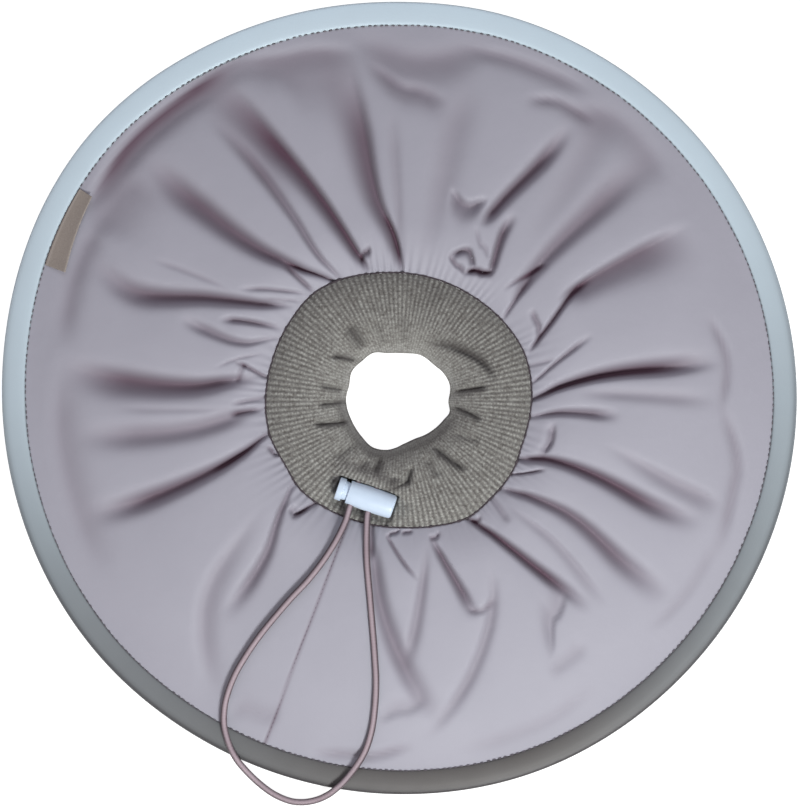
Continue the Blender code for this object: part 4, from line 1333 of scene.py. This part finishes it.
seam_bearings = ring_bearings(THREAD_COLUMNS)[0]
wander = THREAD_WANDER * uneven(seam_bearings, 51, (41, 67, 97, 131, 173))
rise = THREAD_RISE * uneven(seam_bearings, 61, (37, 59, 83, 127, 163))
seam_line = polar(seam_edge(seam_bearings) + wander, seam_bearings, SEAM_HEIGHT - THREAD_DEPTH + rise)
thick = THREAD_RADIUS + THREAD_SWELL * uneven(seam_bearings, 71, (53, 89, 127, 151, 197))
ring_points = tube_points(overlapped(seam_line), overlapped(thick)[:, None], THREAD_SIDES)[1:-1]
seam_thread = add_quads("seam_thread", ring_points, closed_across=True)
thread = thread_material("dark_overlock", (58, 50, 54), 0.85, 500, 2.0, (40, 34, 38), (84, 74, 80))
dress(seam_thread, thread, "cone")
print("seam thread:", len(seam_thread.data.polygons), "faces")

# %% [markdown]
# ## The cord lock
# The lock has two parts. The barrel holds a spring and has two holes for the cord, and the button
# slides in its open end. Both are turned shapes with rounded edges, so each is drawn as a profile
# and turned about the lock's own axis. The holes are cut by a Boolean with round cutters.

# %% Turned shapes on the lock's axis
CORD_HOLES = (0.0028, 0.0114)
HOLE_RADIUS = CORD_DIAMETER / 2 + 0.0004
STEM_DIAMETER = 0.0086
STEM_END = 0.0005
BUTTON_TRAVEL = 0.0020
HEAD_DIAMETER = 0.0105
HEAD_ROUNDING = 0.0006
BARREL_END_DIAMETER = 0.0107
BARREL_ROUNDING = 0.0015
MOUTH_ROUNDING = 0.0005
BORE_START = 0.0040
BORE_LENGTH = 0.0193
SHARP_ANGLE = 38

# A cutter reaches this far to both sides, and is turned a few degrees so that its edges don't
# lie on those of the turned pieces.
CUTTER_REACH = 0.012
CUTTER_TURN = 3.1
CUTTER_SIDES = 40


def lock_matrix():
    """Place of the barrel's mouth, with Z along the barrel."""
    along = math.radians(LOCK_BEARING + 90)
    middle = Vector(polar(lock_distance(), LOCK_BEARING, lock_axis_height()))
    mouth = middle - LOCK_MOUTH * Vector((math.cos(along), math.sin(along), 0.0))
    turned = Matrix.Rotation(along, 4, "Z") @ Matrix.Rotation(math.radians(90), 4, "Y")
    return Matrix.Translation(mouth) @ turned


def rounded(corners, radius, steps):
    """A profile of (radius, height) corners with its corners rounded."""
    points = [corners[0]]
    for before, corner, after in zip(corners, corners[1:], corners[2:]):
        here = np.array(corner)
        back = np.array(before) - here
        ahead = np.array(after) - here
        cut = min(radius, np.linalg.norm(back) * 0.45, np.linalg.norm(ahead) * 0.45)
        first = here + back / np.linalg.norm(back) * cut
        last = here + ahead / np.linalg.norm(ahead) * cut
        for t in np.linspace(0.0, 1.0, steps):
            points.append(tuple((1 - t) ** 2 * first + 2 * t * (1 - t) * here + t ** 2 * last))
    points.append(corners[-1])
    return np.array(points)


def turned_piece(name, profile, sides=64):
    piece = add_quads(name, polar(profile[:, :1], ring_bearings(sides), profile[:, 1:]))
    piece.matrix_world = lock_matrix()
    return piece


def cut_holes(piece, heights):
    """Cuts round holes for the cord across a piece of the lock."""
    cutters = []
    for number, height in enumerate(heights, 1):
        ring = CUTTER_TURN + ring_bearings(CUTTER_SIDES)
        reach = np.array((CUTTER_REACH, CUTTER_REACH, -CUTTER_REACH, -CUTTER_REACH))[:, None]
        width = np.array((0.0, HOLE_RADIUS, HOLE_RADIUS, 0.0))[:, None]
        cutter = add_quads(f"hole_cutter_{number}", polar(width, ring, reach))
        weld(cutter)
        across = Matrix.Translation((0.0, 0.0, height)) @ Matrix.Rotation(math.radians(90), 4, "X")
        cutter.matrix_world = lock_matrix() @ across
        hole = piece.modifiers.new(f"hole_{number}", "BOOLEAN")
        hole.object = cutter
        hole.operation = "DIFFERENCE"
        hole.solver = "EXACT"
        cutters.append(cutter)
    bpy.context.view_layer.update()
    mesh = merged(piece).data
    mesh.shade_smooth()
    mesh.set_sharp_from_angle(angle=math.radians(SHARP_ANGLE))
    for cutter in cutters:
        bpy.data.objects.remove(cutter)


print("lock at", [round(value, 4) for value in lock_matrix().translation])

# %% Barrel and button
end = BARREL_END_DIAMETER / 2
bore = STEM_DIAMETER / 2 + GAP
swell = BARREL_DIAMETER / 2 - end
bulge = [(end + swell * (1 - (2 * s - 1) ** 2), BARREL_LENGTH * s) for s in np.linspace(0.84, 0.1, 9)]
closed_end = [(0.0, BARREL_LENGTH), (end, BARREL_LENGTH), bulge[0]]
open_end = [bulge[-1], (end, 0.0), (bore, 0.0), (bore, BORE_START)]
barrel_profile = np.concatenate([
    rounded(closed_end, BARREL_ROUNDING, 8), np.array(bulge[1:-1]),
    rounded(open_end, MOUTH_ROUNDING, 5), np.array([(bore, BORE_LENGTH), (0.0, BORE_LENGTH)]),
])
lock_shell = weld(turned_piece("lock_shell", barrel_profile))
cut_holes(lock_shell, CORD_HOLES)

head = HEAD_DIAMETER / 2
stem = STEM_DIAMETER / 2
foot = -HEAD_GAP
button_profile = rounded([
    (0.0, STEM_END), (stem, STEM_END), (stem, foot), (head, foot), (head, foot - HEAD_LENGTH),
    (0.0, foot - HEAD_LENGTH),
], HEAD_ROUNDING, 5)
lock_cap = weld(turned_piece("lock_cap", button_profile))

# A notch in the stem's end keeps it clear of the cord when the button is pressed.
cut_holes(lock_cap, (CORD_HOLES[0] - BUTTON_TRAVEL,))
print("barrel:", len(lock_shell.data.polygons), "faces; button:", len(lock_cap.data.polygons))

# %% [markdown]
# ## White plastic
# The lock is moulded in white plastic. Its pale blue colour is painted reflection of the bluish
# window, with a faint unevenness from the mould.

# %% Finish of the lock
# The pale blue in these colours is painted reflection of the window.
white_plastic = Finish("white_plastic", screen_colour(206, 224, 242), 0.32, Specular_IOR_Level=0.5)
cloudy = white_plastic.noise(220, 2.0)
plastic_tint = white_plastic.blend(cloudy, screen_colour(196, 213, 231), screen_colour(206, 222, 238))
white_plastic.set(**{"Base Color": plastic_tint, "Roughness": cloudy * 0.12 + 0.26})
white_plastic.relief(white_plastic.noise(1400, 2.0), 0.0001, 0.2)
dress(lock_shell, white_plastic.material, "cone")
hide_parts("lock_barrel")
dress(lock_cap, white_plastic.material, "button")
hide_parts("lock_button")
print("lock finished")

# %% [markdown]
# ## The woven tag
# A small ribbon tag is caught in the tape's seam and lies on the wall. It stays bare here. It is
# modelled with its own thickness, slightly lifted along its free edge, with a fine woven relief
# and a lighter selvedge.

# %% Tag
TAG_BEARINGS = (146.7, 159.3)
TAG_WIDTHS = (0.0068, 0.0100)
TAG_COLUMNS = 90
TAG_ROWS = 20
TAG_TUCK = 0.0003
TAG_LIFT = 0.0007
TAG_EDGE_LIFT = 0.0007
TAG_CORNER_LIFT = 0.0009
TAG_THICKNESS = 0.0005
TAG_THREADS = 44
WEAVE_HEIGHT = 0.00004
along = np.linspace(0.0, 1.0, TAG_COLUMNS)[None, :]
across = np.linspace(0.0, 1.0, TAG_ROWS)[:, None]
tag_bearing = TAG_BEARINGS[0] + (TAG_BEARINGS[1] - TAG_BEARINGS[0]) * along
tag_width = TAG_WIDTHS[0] + (TAG_WIDTHS[1] - TAG_WIDTHS[0]) * along
tag_radius = tape_inner_edge(tag_bearing) + TAG_TUCK - tag_width * (1 - across)
tag_inner = wall_radius(tag_bearing, 0.0)
tag_share = (tag_radius - tag_inner) / (tape_inner_edge(tag_bearing) - tag_inner)
tag_height = dome_height(tag_share) + TAG_LIFT
tag_height = tag_height + TAG_EDGE_LIFT * (1 - across) ** 2 * (0.7 + 0.5 * np.sin(3.0 * along + 0.6))
tag_height = tag_height + TAG_CORNER_LIFT * np.exp(-((along - 1.0) / 0.10) ** 2) * (1 - across)
tag_height = tag_height + WEAVE_HEIGHT * np.sin(along * 2 * math.pi * TAG_THREADS)
woven_tag = add_quads("woven_tag", polar(tag_radius, tag_bearing, tag_height), closed_along=False)
thickness = woven_tag.modifiers.new("thickness", "SOLIDIFY")
thickness.thickness = TAG_THICKNESS
thickness.offset = -1.0
selvedge = np.exp(-(across / 0.06) ** 2) + np.exp(-((across - 0.9) / 0.05) ** 2) + 0 * along
store(woven_tag, "selvedge", selvedge)
taupe_ribbon = Finish("taupe_ribbon", screen_colour(138, 128, 120), 0.8, Sheen_Weight=0.15)
threads = taupe_ribbon.noise(1900, 2.0)
ribbon = taupe_ribbon.blend(threads, screen_colour(122, 112, 105), screen_colour(150, 141, 133))
taupe_ribbon.set(**{"Base Color": taupe_ribbon.blend(
    (taupe_ribbon.stored("selvedge") * 0.35).held(), ribbon, screen_colour(176, 168, 160),
)})
taupe_ribbon.relief(threads, 0.0002, 0.6)
dress(woven_tag, taupe_ribbon.material, "cone")
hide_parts("side_label")
print("tag:", len(woven_tag.data.polygons), "faces")

# %% [markdown]
# ## Faces in all
# The faces of all the shown pieces are counted.

faces = sum(len(piece.data.polygons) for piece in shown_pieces())
print("faces in all:", faces)
